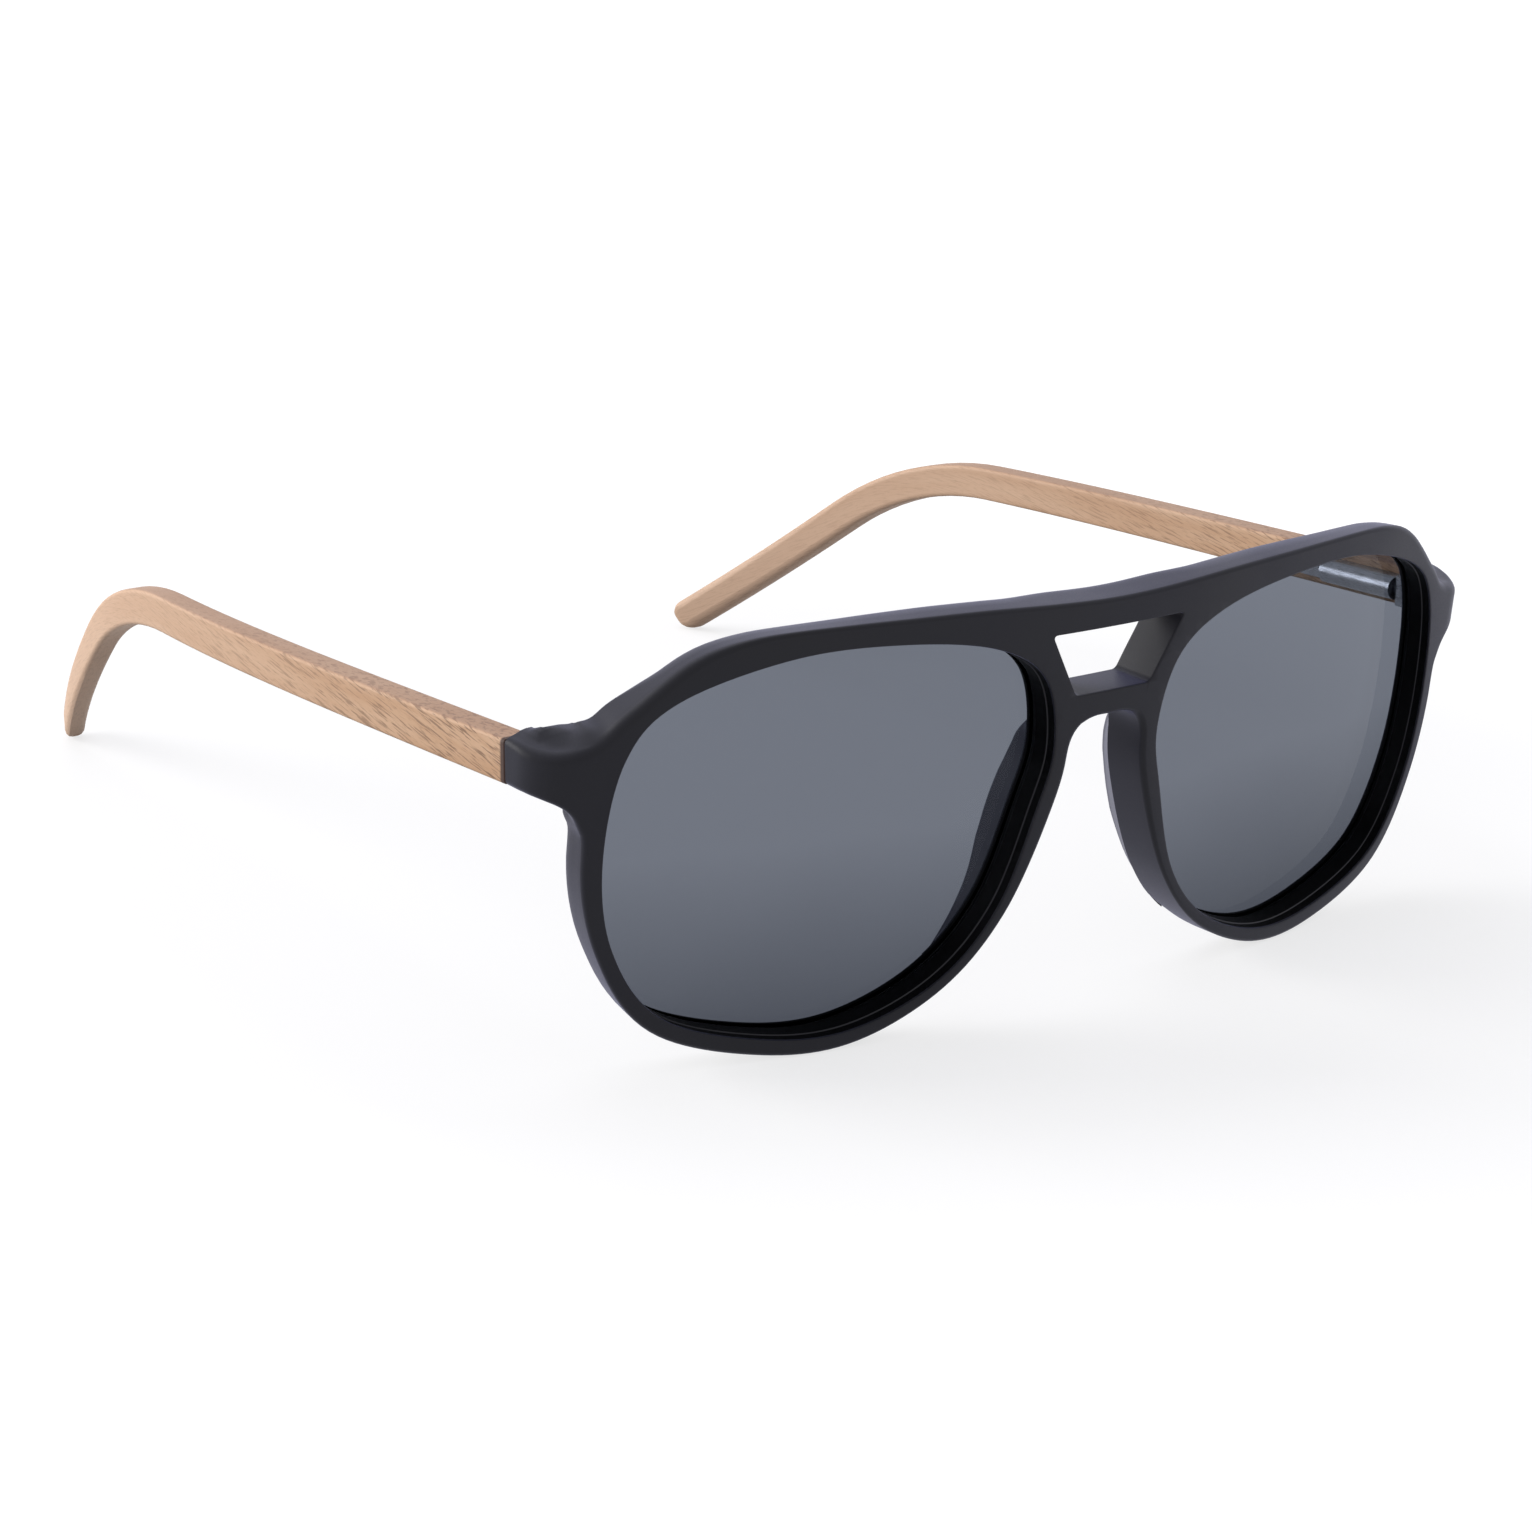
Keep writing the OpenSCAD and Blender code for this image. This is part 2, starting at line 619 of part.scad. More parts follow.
front_frame();
lens(1);  // lens_left
lens(-1);  // lens_right
nose_pad(1);  // nose_pad_left
nose_pad(-1);  // nose_pad_right
temple(1);  // temple_left
temple(-1);  // temple_right
front_leaf(1);  // front_leaf_left
front_leaf(-1);  // front_leaf_right
hinge_screw(1);  // hinge_screw_left
hinge_screw(-1);  // hinge_screw_right
hinge_slider(1);  // hinge_slider_left
hinge_slider(-1);  // hinge_slider_right
slider_stop(1);  // slider_stop_left
slider_stop(-1);  // slider_stop_right
hinge_spring(1);  // hinge_spring_left
hinge_spring(-1);  // hinge_spring_right
spring_housing(1);  // spring_housing_left
spring_housing(-1);  // spring_housing_right
housing_screws(1);  // housing_screws_left
housing_screws(-1);  // housing_screws_right
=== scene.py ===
"""Dress of the sunglasses: moulded front, tinted lenses, nose pads, wooden temples and hinge metal.

Sizes of pieces are in millimetres and degrees, as in the part's source. Meshes are made in metres.
"""

from __future__ import annotations

import logging
import math
from collections.abc import Callable, Iterable, Sequence
from dataclasses import dataclass, field
from enum import Enum
from typing import ClassVar, NamedTuple

import bmesh
import bpy
from mathutils import Matrix, Vector
from mathutils.geometry import delaunay_2d_cdt


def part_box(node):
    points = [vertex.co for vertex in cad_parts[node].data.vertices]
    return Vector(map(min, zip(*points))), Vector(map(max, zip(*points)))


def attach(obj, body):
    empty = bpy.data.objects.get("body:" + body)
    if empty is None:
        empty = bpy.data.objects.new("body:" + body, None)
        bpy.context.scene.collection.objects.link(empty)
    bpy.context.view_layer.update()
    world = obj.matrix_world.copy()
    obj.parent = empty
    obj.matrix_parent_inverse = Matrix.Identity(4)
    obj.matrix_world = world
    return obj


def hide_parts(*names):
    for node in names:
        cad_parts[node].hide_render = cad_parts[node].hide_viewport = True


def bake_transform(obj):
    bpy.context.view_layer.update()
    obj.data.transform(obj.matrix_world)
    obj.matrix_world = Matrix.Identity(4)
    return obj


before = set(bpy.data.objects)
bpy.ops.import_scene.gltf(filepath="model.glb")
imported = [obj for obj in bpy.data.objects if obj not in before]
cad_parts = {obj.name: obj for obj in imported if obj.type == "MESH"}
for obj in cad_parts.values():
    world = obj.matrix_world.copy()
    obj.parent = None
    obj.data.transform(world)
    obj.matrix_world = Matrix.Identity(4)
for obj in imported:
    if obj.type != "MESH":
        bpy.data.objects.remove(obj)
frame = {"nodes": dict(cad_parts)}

LOG = logging.getLogger("sunglasses")
MM = 0.001
NOISE_SPAN = (0.3, 0.7)

Flat = tuple[float, float]
Span = tuple[float, float]
Triple = tuple[float, float, float]
Colour = tuple[float, float, float, float]
Socket = bpy.types.NodeSocket


class Side(Enum):
    """The wearer's sides: left stands at +X and right at -X."""

    LEFT = 1
    RIGHT = -1

    @property
    def word(self) -> str:
        """Give the side's word as it stands in node names."""
        return self.name.lower()


def smooth_step(low: float, high: float, value: float) -> float:
    """Give 0 below low, 1 above high and an even rise between them."""
    part = min(max((value - low) / (high - low), 0.0), 1.0)
    return part * part * (3.0 - 2.0 * part)


def mixed(a: float, b: float, part: float) -> float:
    """Give the value at a part of the way from a to b."""
    return a + (b - a) * part


def shade(red: int, green: int, blue: int) -> Colour:
    """Turn a colour as it looks on a screen, in 0 to 255, into a shader's colour.

    Args:
        red: Red as seen.
        green: Green as seen.
        blue: Blue as seen.

    Returns:
        The linear colour with full cover.
    """
    linear = []
    for value in (red, green, blue):
        part = value / 255.0
        linear.append(part / 12.92 if part <= 0.04045 else ((part + 0.055) / 1.055) ** 2.4)
    return (linear[0], linear[1], linear[2], 1.0)


def curve_value(a: float, b: float, c: float, d: float, part: float) -> float:
    """Give the value of a smooth curve through four values, between the second and the third.

    Args:
        a: The value before.
        b: Where the stretch starts.
        c: Where the stretch ends.
        d: The value after.
        part: Share of the stretch.

    Returns:
        The value there.
    """
    square, cube = 2 * a - 5 * b + 4 * c - d, 3 * b - a - 3 * c + d
    return 0.5 * (2 * b + (c - a) * part + square * part**2 + cube * part**3)


def arc_angles(full: float, steps: int) -> list[float]:
    """Give the angles of even steps through a turn in degrees, from 0 to the whole, in radians."""
    return [math.radians(full * k / steps) for k in range(steps + 1)]


def closed_curve(values: Sequence[float], steps: int) -> list[float]:
    """Fill in a smooth closed curve through the given values.

    Args:
        values: The values that the curve passes.
        steps: Values made for each one given.

    Returns:
        The values along the curve.
    """
    count = len(values)
    return [
        curve_value(values[i - 1], values[i], values[(i + 1) % count], values[(i + 2) % count], k / steps)
        for i in range(count)
        for k in range(steps)
    ]


class Station(NamedTuple):
    """A point of an outline on the flattened front: place across, height and share of the rim's width."""

    s: float
    h: float
    width: float = 1.0


def open_curve(stations: Sequence[Station], steps: int) -> list[Station]:
    """Fill in a smooth curve through stations, of which the first and last only guide its ends.

    Args:
        stations: The guides and the stations between them.
        steps: Stations made for each stretch.

    Returns:
        The stations along the curve, both ends included.
    """
    made = []
    for i in range(1, len(stations) - 2):
        four = stations[i - 1 : i + 3]
        for k in range(steps):
            made.append(
                Station(*(curve_value(*(four[n][axis] for n in range(4)), k / steps) for axis in range(3)))
            )
    return [*made, stations[-2]]


@dataclass(frozen=True)
class Outline:
    """A closed outline on the flattened front, counterclockwise."""

    stations: tuple[Station, ...]

    def normals(self) -> list[Flat]:
        """Find the outward direction at each station.

        Returns:
            Directions of length 1, across and up.
        """
        found = []
        count = len(self.stations)
        for i in range(count):
            before, after = self.stations[i - 1], self.stations[(i + 1) % count]
            run, rise = after.s - before.s, after.h - before.h
            size = math.hypot(run, rise)
            found.append((rise / size, -run / size))
        return found

    def grown(self, widths: Sequence[float]) -> Outline:
        """Move each station outwards.

        Args:
            widths: Distance for each station, less than 0 to move inwards.

        Returns:
            The moved outline.
        """
        return Outline(
            tuple(
                Station(p.s + n[0] * w, p.h + n[1] * w, p.width)
                for p, n, w in zip(self.stations, self.normals(), widths)
            )
        )

    def mirrored(self) -> Outline:
        """Give the same outline on the other side of the middle."""
        return Outline(tuple(Station(-p.s, p.h, p.width) for p in reversed(self.stations)))

    def holds(self, s: float, h: float) -> bool:
        """Say whether a point lies inside the outline.

        Args:
            s: Place across the front.
            h: Height.

        Returns:
            True for a point inside.
        """
        inside = False
        last = self.stations[-1]
        for p in self.stations:
            if (p.h > h) != (last.h > h) and s < (last.s - p.s) * (h - p.h) / (last.h - p.h) + p.s:
                inside = not inside
            last = p
        return inside


def evenly(stations: Sequence[Station], spacing: Callable[[Station], float]) -> list[Station]:
    """Space the stations of an open line anew.

    Args:
        stations: The line.
        spacing: Distance wanted between stations near a given one.

    Returns:
        The new stations, with both ends kept.
    """
    made = [stations[0]]
    travelled = 0.0
    for a, b in zip(stations, stations[1:]):
        length = math.hypot(b.s - a.s, b.h - a.h)
        at = 0.0
        while length > 0 and travelled + (length - at) >= spacing(made[-1]):
            at += spacing(made[-1]) - travelled
            part = at / length
            made.append(Station(*(mixed(a[n], b[n], part) for n in range(3))))
            travelled = 0.0
        travelled += length - at
    if travelled < 0.5 * spacing(made[-1]) and len(made) > 1:
        made.pop()
    return [*made, stations[-1]]


@dataclass(frozen=True)
class FrontSizes:
    """Driving sizes of the front, shared by the pieces on it."""

    lens_w: float = 54.8
    lens_h: float = 45.8
    bridge_w: float = 15.8
    rim_w: float = 2.7
    rim_depth: float = 5.2
    wrap_r: float = 199.0
    lean: float = 4.2
    brow_bar_h: float = 3.2
    brow_dip: float = 0.8
    lower_bridge_h: float = 3.0
    lower_bridge_v: float = 0.74
    window_top_w: float = 19.5
    window_bottom_w: float = 11.0
    hinge_up: float = 33.4
    sweep_run: float = 2.15
    sweep_r: float = 6.0
    sweep_end: float = 1.8
    sweep_a: float = 84.0
    sweep_from: float = 1.9
    end_over: float = 0.2
    end_under: float = 0.1
    end_from: float = 3.6
    end_full: float = 0.6
    ledge_a: float = 65.0
    ledge_step: float = 0.3
    leaf_side: float = 0.8
    turn_share: float = 0.87
    lens_t: float = 1.1
    lens_recess: float = 3.4
    groove_depth: float = 0.6
    run_gap: float = 0.05
    seat_gap: float = 0.02
    joint_gap: float = 0.15
    pad_depth: float = 3.5
    pad_t: float = 1.4
    pad_edge: float = 0.9
    pad_low_v: float = 0.12
    pad_high_v: float = 0.72
    temple_h: float = 5.0
    temple_t: float = 3.8
    temple_drop: float = 3.3
    knuckle_d: float = 2.5
    knuckle_room: float = 0.25
    leaf_room: float = 0.35

    @property
    def lens_s(self) -> float:
        """Give a lens's middle, measured along the front."""
        return (self.bridge_w + self.lens_w) / 2

    @property
    def lens_a(self) -> float:
        """Give the angle at which a lens faces outwards, in radians."""
        return self.lens_s / self.wrap_r

    @property
    def brow_top(self) -> float:
        """Give the height of the brow over the lenses."""
        return self.lens_h + self.rim_w

    @property
    def lower_bridge_z(self) -> float:
        """Give the height of the lower bridge's underside."""
        return self.lower_bridge_v * self.lens_h

    @property
    def end_high(self) -> float:
        """Give the height of an end piece's top."""
        return self.hinge_up + self.temple_h / 2 + self.end_over

    @property
    def end_low(self) -> float:
        """Give the height of an end piece's underside."""
        return self.hinge_up - self.temple_h / 2 - self.end_under

    @property
    def pad_low(self) -> float:
        """Give the height of a nose pad's lower end."""
        return self.pad_low_v * self.lens_h

    @property
    def pad_high(self) -> float:
        """Give the height of a nose pad's upper end."""
        return self.pad_high_v * self.lens_h

    @property
    def pad_to(self) -> float:
        """Give the length along the front up to which a nose pad may follow its rim."""
        return self.lens_s - self.lens_w / 6

    @property
    def axis_in(self) -> float:
        """Give the distance from a temple's inner face to the hinge axis."""
        return self.knuckle_d / 2 + self.knuckle_room

    @property
    def leaf_back(self) -> float:
        """Give the distance from the hinge axis forward to the face that holds the front leaf."""
        return self.knuckle_d / 2 + self.leaf_room


@dataclass(frozen=True)
class EndTop:
    """How an end piece's top slopes off at its front and rises at its back."""

    fall: float = 0.24
    fall_from: float = 1.0
    rise: float = 0.95
    rise_before: float = 2.0
    rise_run: float = 2.4
    lift_out: float = 0.35
    lift_before: float = 0.2
    lift_run: float = 2.8
    joint_share: float = 0.5
    joint_run: float = 4.0
    chord_run: float = 1.8
    depth_run: float = 3.0
    height_run: float = 1.0


@dataclass(frozen=True)
class FrontOutlines:
    """The front's outlines, laid flat along its wrap.

    The opening's shape is in shares of a lens's width and height. The blends are pairs of a distance out
    from the rim's edge and a height from the end piece. The brow's are pairs of a share of a lens's width
    and a height from the brow's top.
    """

    sizes: FrontSizes
    steps: int = 12
    fine: float = 0.6
    coarse: float = 1.2
    fine_from: float = 60.5
    arch_to: float = 6.5
    arch_over: float = 1.0
    past_joint: float = 2.0
    level_room: float = 0.8
    window_corner: float = 0.6
    corner_steps: int = 4
    inner_point: int = 7
    under_point: int = 9
    nose_clear: float = 3.9
    end_clear: float = 6.3
    middle_rise: float = 0.2
    opening_shape: tuple[Flat, ...] = (
        (1.0, 0.51), (0.97, 0.762), (0.869, 0.9), (0.63, 0.988), (0.385, 0.996), (0.169, 0.955),
        (0.042, 0.86), (0.0, 0.68), (0.029, 0.514), (0.101, 0.271), (0.23, 0.106), (0.427, 0.012),
        (0.629, 0.018), (0.852, 0.101), (0.965, 0.281),
    )
    rim_parts: tuple[float, ...] = (
        0.93, 0.85, 0.86, 1.0, 1.0, 1.0, 0.83, 0.83, 0.9, 0.57, 0.57, 0.72, 0.8, 0.8, 0.75,
    )
    arch_form: tuple[Flat, ...] = ((1.0, 0.0), (0.75, 0.0), (0.55, 0.4), (0.4, 1.4))
    arch_foot: Station = Station(0.68, 2.7, 0.95)
    low_blend: tuple[Flat, ...] = ((-0.1, -5.0), (0.3, -3.7), (1.2, -2.1), (2.6, -0.9), (4.2, -0.25))
    low_level: Flat = (72.6, 74.2)
    top_level: Flat = (71.5, 69.5)
    top_blend: tuple[Flat, ...] = (
        (0.9, 0.3), (-1.1, 1.1), (-3.0, 3.05), (-5.0, 4.9), (-7.3, 7.1), (-10.0, 9.3), (-13.1, 10.9),
    )
    brow_form: tuple[Flat, ...] = ((0.72, -0.45), (0.63, 0.0), (0.52, 0.18), (0.4, 0.22), (0.2, 0.1))

    def opening(self) -> Outline:
        """Draw the left lens opening.

        Returns:
            The opening, with the rim's share of its full width at each station.
        """
        z = self.sizes
        across = closed_curve([p[0] for p in self.opening_shape], self.steps)
        up = closed_curve([p[1] for p in self.opening_shape], self.steps)
        parts = closed_curve(self.rim_parts, self.steps)
        inner = z.bridge_w / 2
        made = [Station(inner + a * z.lens_w, u * z.lens_h, w) for a, u, w in zip(across, up, parts)]
        return Outline(tuple(made))

    def rim(self) -> Outline:
        """Draw the left rim's outer edge."""
        opening = self.opening()
        return opening.grown([self.sizes.rim_w * p.width for p in opening.stations])

    def window(self) -> Outline:
        """Draw the window between the two bridges, with small round corners.

        Returns:
            The window's outline.
        """
        z = self.sizes
        low = z.lower_bridge_z + z.lower_bridge_h
        high = z.brow_top - z.brow_dip - z.brow_bar_h
        bottom, top = z.window_bottom_w / 2, z.window_top_w / 2
        corners = [(-bottom, low), (bottom, low), (top, high), (-top, high)]
        made: list[Station] = []
        for i, corner in enumerate(corners):
            before, after = corners[i - 1], corners[(i + 1) % len(corners)]
            start, end = self.towards(corner, before), self.towards(corner, after)
            for k in range(self.corner_steps + 1):
                t = k / self.corner_steps
                weights = ((1 - t) ** 2, 2 * t * (1 - t), t**2)
                s, h = (sum(w * p[n] for w, p in zip(weights, (start, corner, end))) for n in range(2))
                made.append(Station(s, h))
            length = math.dist(corner, after)
            pieces = int(length / self.coarse)
            for k in range(1, pieces):
                part = mixed(self.window_corner, length - self.window_corner, k / pieces) / length
                made.append(Station(mixed(corner[0], after[0], part), mixed(corner[1], after[1], part)))
        return Outline(tuple(made))

    def towards(self, corner: Flat, other: Flat) -> Flat:
        """Find where a window corner's rounding ends on the way to the next corner."""
        part = self.window_corner / math.dist(corner, other)
        return (mixed(corner[0], other[0], part), mixed(corner[1], other[1], part))

    def outer(self, plan: FrontPlan) -> Outline:
        """Draw the whole front's outer edge, with end pieces that run a little past their joints.

        Args:
            plan: The front seen from above, which turns distances across into lengths along the front.

        Returns:
            The outer edge, the same on both sides of the middle.
        """
        z = self.sizes
        rim = self.rim().stations
        per = self.steps
        arch_z, half = z.lower_bridge_z, z.bridge_w / 2
        reach = plan.joint_s + self.past_joint
        low, high = z.end_low, z.end_high

        inner, under = self.inner_point * per, self.under_point * per
        side = [p for p in rim[inner:under] if p.h < arch_z - self.nose_clear]
        side += [p for p in rim[under:] if p.h < low - self.end_clear]
        arch = [Station(half * (1 - part), arch_z - fall) for part, fall in self.arch_form]
        foot = self.arch_foot
        arch.append(Station(half * foot.s, arch_z - foot.h, foot.width))
        edge_x = plan.wrap_x(half + z.lens_w + z.rim_w)
        low_blend = [Station(plan.s_at(edge_x + out), low + rise) for out, rise in self.low_blend]
        low_level = [Station(s, low) for s in self.low_level]
        guide, start = (Station(s, high) for s in self.top_level)
        top_blend = [Station(plan.s_at(edge_x + out), high + rise) for out, rise in self.top_blend]
        brow = [Station(half + part * z.lens_w, z.brow_top + rise) for part, rise in self.brow_form]
        middle = Station(0.0, z.brow_top - z.brow_dip + self.middle_rise)
        beyond = Station(-brow[-1].s, brow[-1].h)

        line = open_curve([Station(-arch[1].s, arch_z), *arch, side[0], side[1]], per)[:-1]
        line += side
        line += open_curve([side[-2], side[-1], *low_blend, *low_level], per)[1:]
        line += [Station(reach, low), Station(reach, high), start]
        line += open_curve([guide, start, *top_blend, *brow, middle, beyond], per)[1:]

        lower = evenly(line[: line.index(Station(reach, low)) + 1], self.spacing)
        upper = evenly(line[line.index(Station(reach, high)) :], self.spacing)
        right = [self.held(p, plan) for p in [*lower, *upper]]
        left = [Station(-p.s, p.h, p.width) for p in reversed(right[1:-1])]
        return Outline(tuple([*right, *left]))

    def spacing(self, near: Station) -> float:
        """Give the distance wanted between stations: short in the arch and on the end pieces."""
        in_arch = near.s < self.arch_to and near.h < self.sizes.lower_bridge_z + self.arch_over
        return self.fine if near.s > self.fine_from or in_arch else self.coarse

    def held(self, station: Station, plan: FrontPlan) -> Station:
        """Move a station on an end piece onto the nearest of the plan's corners, if one is close.

        Args:
            station: The station.
            plan: The front seen from above.

        Returns:
            The station, or one level with the corner.
        """
        z = self.sizes
        level = min(abs(station.h - z.end_low), abs(station.h - z.end_high)) < self.level_room
        for corner in plan.corners:
            if level and abs(station.s - corner) < self.fine / 2:
                return Station(corner, station.h, station.width)
        return station


class FrontPlan:
    """The front seen from above: turns places on the flattened front into places in the room."""

    HALVINGS: ClassVar[int] = 40

    def __init__(self, sizes: FrontSizes, end_top: EndTop) -> None:
        """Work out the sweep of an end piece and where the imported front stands.

        Args:
            sizes: The front's driving sizes.
            end_top: The form of an end piece's top.
        """
        self.sizes = sizes
        self.end_top = end_top
        z = sizes
        self.from_s = z.bridge_w / 2 + z.lens_w + z.sweep_from
        self.from_a = self.from_s / z.wrap_r
        self.to_a = math.radians(z.sweep_a)
        self.run_s = self.from_s + z.sweep_run
        self.turn_s = self.run_s + z.sweep_r * (self.to_a - self.from_a)
        self.joint_s = self.turn_s + z.sweep_end
        self.tilt = math.tan(math.radians(z.lean + z.temple_drop))
        start, _ = self.outer(self.from_s)
        joint, _ = self.outer(self.joint_s)
        self.chord = (start, joint)
        self.axis_x = joint[0] - z.temple_t - z.axis_in
        self.back_y = joint[1] - z.leaf_back
        step_x = self.axis_x + z.knuckle_d / 2 + z.ledge_step
        ledge_s = self.run_s + z.sweep_r * (math.radians(z.ledge_a) - self.from_a)
        self.inner_line = (
            (self.run_s, (self.axis_x - z.knuckle_d / 2 - z.leaf_side, self.back_y)),
            (ledge_s, (step_x, self.back_y)),
            (self.joint_s, (step_x, joint[1])),
        )
        self.corners = (self.run_s, ledge_s, self.joint_s)
        lean = math.radians(z.lean)
        self.lean_c, self.lean_s = math.cos(lean), math.sin(lean)
        low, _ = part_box("front_frame")
        self.shift_y = low.y / MM + (z.brow_top - z.brow_dip) * self.lean_s
        rim = FrontOutlines(z).rim().stations
        self.shift_z = -min(p.h * self.lean_c + self.outer(p.s)[0][1] * self.lean_s for p in rim)
        self.joint_y = joint[1] * self.lean_c - z.hinge_up * self.lean_s + self.shift_y
        self.joint_z = joint[1] * self.lean_s + z.hinge_up * self.lean_c + self.shift_z

    def wrap_x(self, s: float) -> float:
        """Give the distance across at an arc length on the wrapped part."""
        return self.sizes.wrap_r * math.sin(s / self.sizes.wrap_r)

    def s_at(self, x: float) -> float:
        """Find the length along the front at a distance across it.

        Args:
            x: Distance from the middle, seen from the front.

        Returns:
            The length along the front face.
        """
        low, high = 0.0, self.joint_s
        for _ in range(self.HALVINGS):
            middle = (low + high) / 2
            if self.outer(middle)[0][0] < x:
                low = middle
            else:
                high = middle
        return low

    def outer(self, s: float) -> tuple[Flat, float]:
        """Follow the front face from the middle.

        Args:
            s: Length along the face.

        Returns:
            The place seen from above and the direction in which the face runs, in radians.
        """
        z = self.sizes
        if s <= self.from_s:
            a = s / z.wrap_r
            return (z.wrap_r * math.sin(a), z.wrap_r * (1 - math.cos(a))), a
        a0 = self.from_a
        x, y = z.wrap_r * math.sin(a0), z.wrap_r * (1 - math.cos(a0))
        run = min(s, self.run_s) - self.from_s
        x, y = x + run * math.cos(a0), y + run * math.sin(a0)
        if s <= self.run_s:
            return (x, y), a0
        a = min(a0 + (s - self.run_s) / z.sweep_r, self.to_a)
        x += z.sweep_r * (math.sin(a) - math.sin(a0))
        y += z.sweep_r * (math.cos(a0) - math.cos(a))
        end = max(s - self.turn_s, 0.0)
        return (x + end * math.cos(a), y + end * math.sin(a)), a

    def turn(self, s: float) -> float:
        """Give how far the walls turn inwards on their way back, in radians, at a length along it."""
        return self.sizes.lens_a * smooth_step(0.0, self.sizes.turn_share * self.sizes.bridge_w / 2, s)

    def end_share(self, h: float) -> float:
        """Say how far a height belongs to an end piece rather than to the rim under it, from 0 to 1."""
        low = self.sizes.end_low
        return smooth_step(low - self.sizes.end_from, low - self.sizes.end_full, h)

    def rim_back(self, s: float) -> Flat:
        """Follow the back of a rim, opposite the front face.

        Args:
            s: Length along the front face.

        Returns:
            The place seen from above.
        """
        (x, y), a = self.outer(min(s, self.run_s))
        turn = self.turn(s)
        depth = self.sizes.rim_depth / math.cos(a - turn)
        return (x - depth * math.sin(turn), y + depth * math.cos(turn))

    def sweep_back(self, s: float) -> Flat:
        """Follow the back of an end piece, past the face that holds the hinge leaf.

        Args:
            s: Length along the front face.

        Returns:
            The place seen from above.
        """
        before_s, before = self.from_s, self.rim_back(self.from_s)
        for corner_s, corner in self.inner_line:
            if s <= corner_s:
                part = (s - before_s) / (corner_s - before_s)
                return (mixed(before[0], corner[0], part), mixed(before[1], corner[1], part))
            before_s, before = corner_s, corner
        return (before[0], before[1] + s - before_s)

    def inner(self, s: float, h: float) -> Flat:
        """Follow the back of the front at a height.

        Args:
            s: Length along the front face.
            h: Height above the bottom of the lens openings.

        Returns:
            The place seen from above.
        """
        rim = self.rim_back(s)
        if s <= self.from_s:
            return rim
        swept, share = self.sweep_back(s), self.end_share(h)
        return (mixed(rim[0], swept[0], share), mixed(rim[1], swept[1], share))

    def depth(self, s: float, h: float) -> float:
        """Give the front's depth at a length along it and a height."""
        return math.dist(self.outer(abs(s))[0], self.inner(abs(s), h))

    def behind(self, p: Station, d: float) -> Station:
        """Find the station whose wall passes straight behind a point of the front face.

        Args:
            p: The point of the front face.
            d: Depth behind the face.

        Returns:
            The station from which that depth is measured.
        """
        along = abs(p.s)
        step = d * math.sin(self.turn(along)) / math.cos(along / self.sizes.wrap_r)
        return Station(p.s + math.copysign(step, p.s), p.h, p.width)

    def place(self, s: float, h: float, d: float) -> Vector:
        """Find where a point of the front is.

        Args:
            s: Length along the front face, less than 0 on the right side.
            h: Height above the bottom of the lens openings.
            d: Depth behind the front face.

        Returns:
            The place, in metres.
        """
        z = self.sizes
        along = abs(s)
        out, _ = self.outer(along)
        back = self.inner(along, h)
        part = d / math.dist(out, back)
        x, y = mixed(out[0], back[0], part), mixed(out[1], back[1], part)
        if along > self.from_s:
            ramp = smooth_step(self.from_s, self.run_s, along) * self.end_share(h)
            y += part * ramp * self.tilt * (h - z.hinge_up)
        return self.leaned(math.copysign(x, s), y, h + self.end_lift(along, h, d, (x, y)))

    def end_lift(self, s: float, h: float, d: float, seen: Flat) -> float:
        """Give how far an end piece's top is raised at its back and sloped off at its front.

        Args:
            s: Length along the front face.
            h: Height above the bottom of the lens openings.
            d: Depth behind the front face.
            seen: The place seen from above.

        Returns:
            The change of height.
        """
        z, top = self.sizes, self.end_top
        start = self.from_s - top.rise_before
        if s < start or h < z.end_low:
            return 0.0
        (x0, y0), (x1, y1) = self.chord
        outside = ((seen[0] - x0) * (y1 - y0) - (seen[1] - y0) * (x1 - x0)) / math.dist(*self.chord)
        if s > self.from_s and outside > 0.0:
            share = (h - z.end_low - top.fall_from) / (z.end_high - z.end_low - top.fall_from)
            return -top.fall * outside * min(max(share, 0.0), 1.0)
        rise = top.rise * smooth_step(start, start + top.rise_run, s)
        rise += top.lift_out * smooth_step(self.run_s - top.lift_before, self.run_s + top.lift_run, s)
        rise *= mixed(1.0, top.joint_share, smooth_step(self.joint_s - top.joint_run, self.joint_s, s))
        rise *= smooth_step(0.0, top.chord_run, -outside) * smooth_step(0.0, top.depth_run, d)
        return rise * smooth_step(z.hinge_up - top.height_run, z.end_high, h)

    def leaned(self, x: float, y: float, h: float) -> Vector:
        """Lean a place of the upright front back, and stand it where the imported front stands.

        Args:
            x: Distance across, less than 0 on the right side.
            y: Distance back.
            h: Height above the bottom of the lens openings.

        Returns:
            The place, in metres.
        """
        back = y * self.lean_c - h * self.lean_s + self.shift_y
        up = y * self.lean_s + h * self.lean_c + self.shift_z
        return Vector((x, back, up)) * MM

    def on_back(self, s: float, h: float, back: float) -> Vector:
        """Find a place straight behind a point of the front face, measured from the rim's back.

        Args:
            s: Length along the front face, less than 0 on the right side.
            h: Height above the bottom of the lens openings.
            back: Distance behind the rim's back.

        Returns:
            The place, in metres.
        """
        z = self.sizes
        x = self.wrap_x(s)
        return self.leaned(x, z.wrap_r - math.sqrt((z.wrap_r - z.rim_depth) ** 2 - x * x) + back, h)

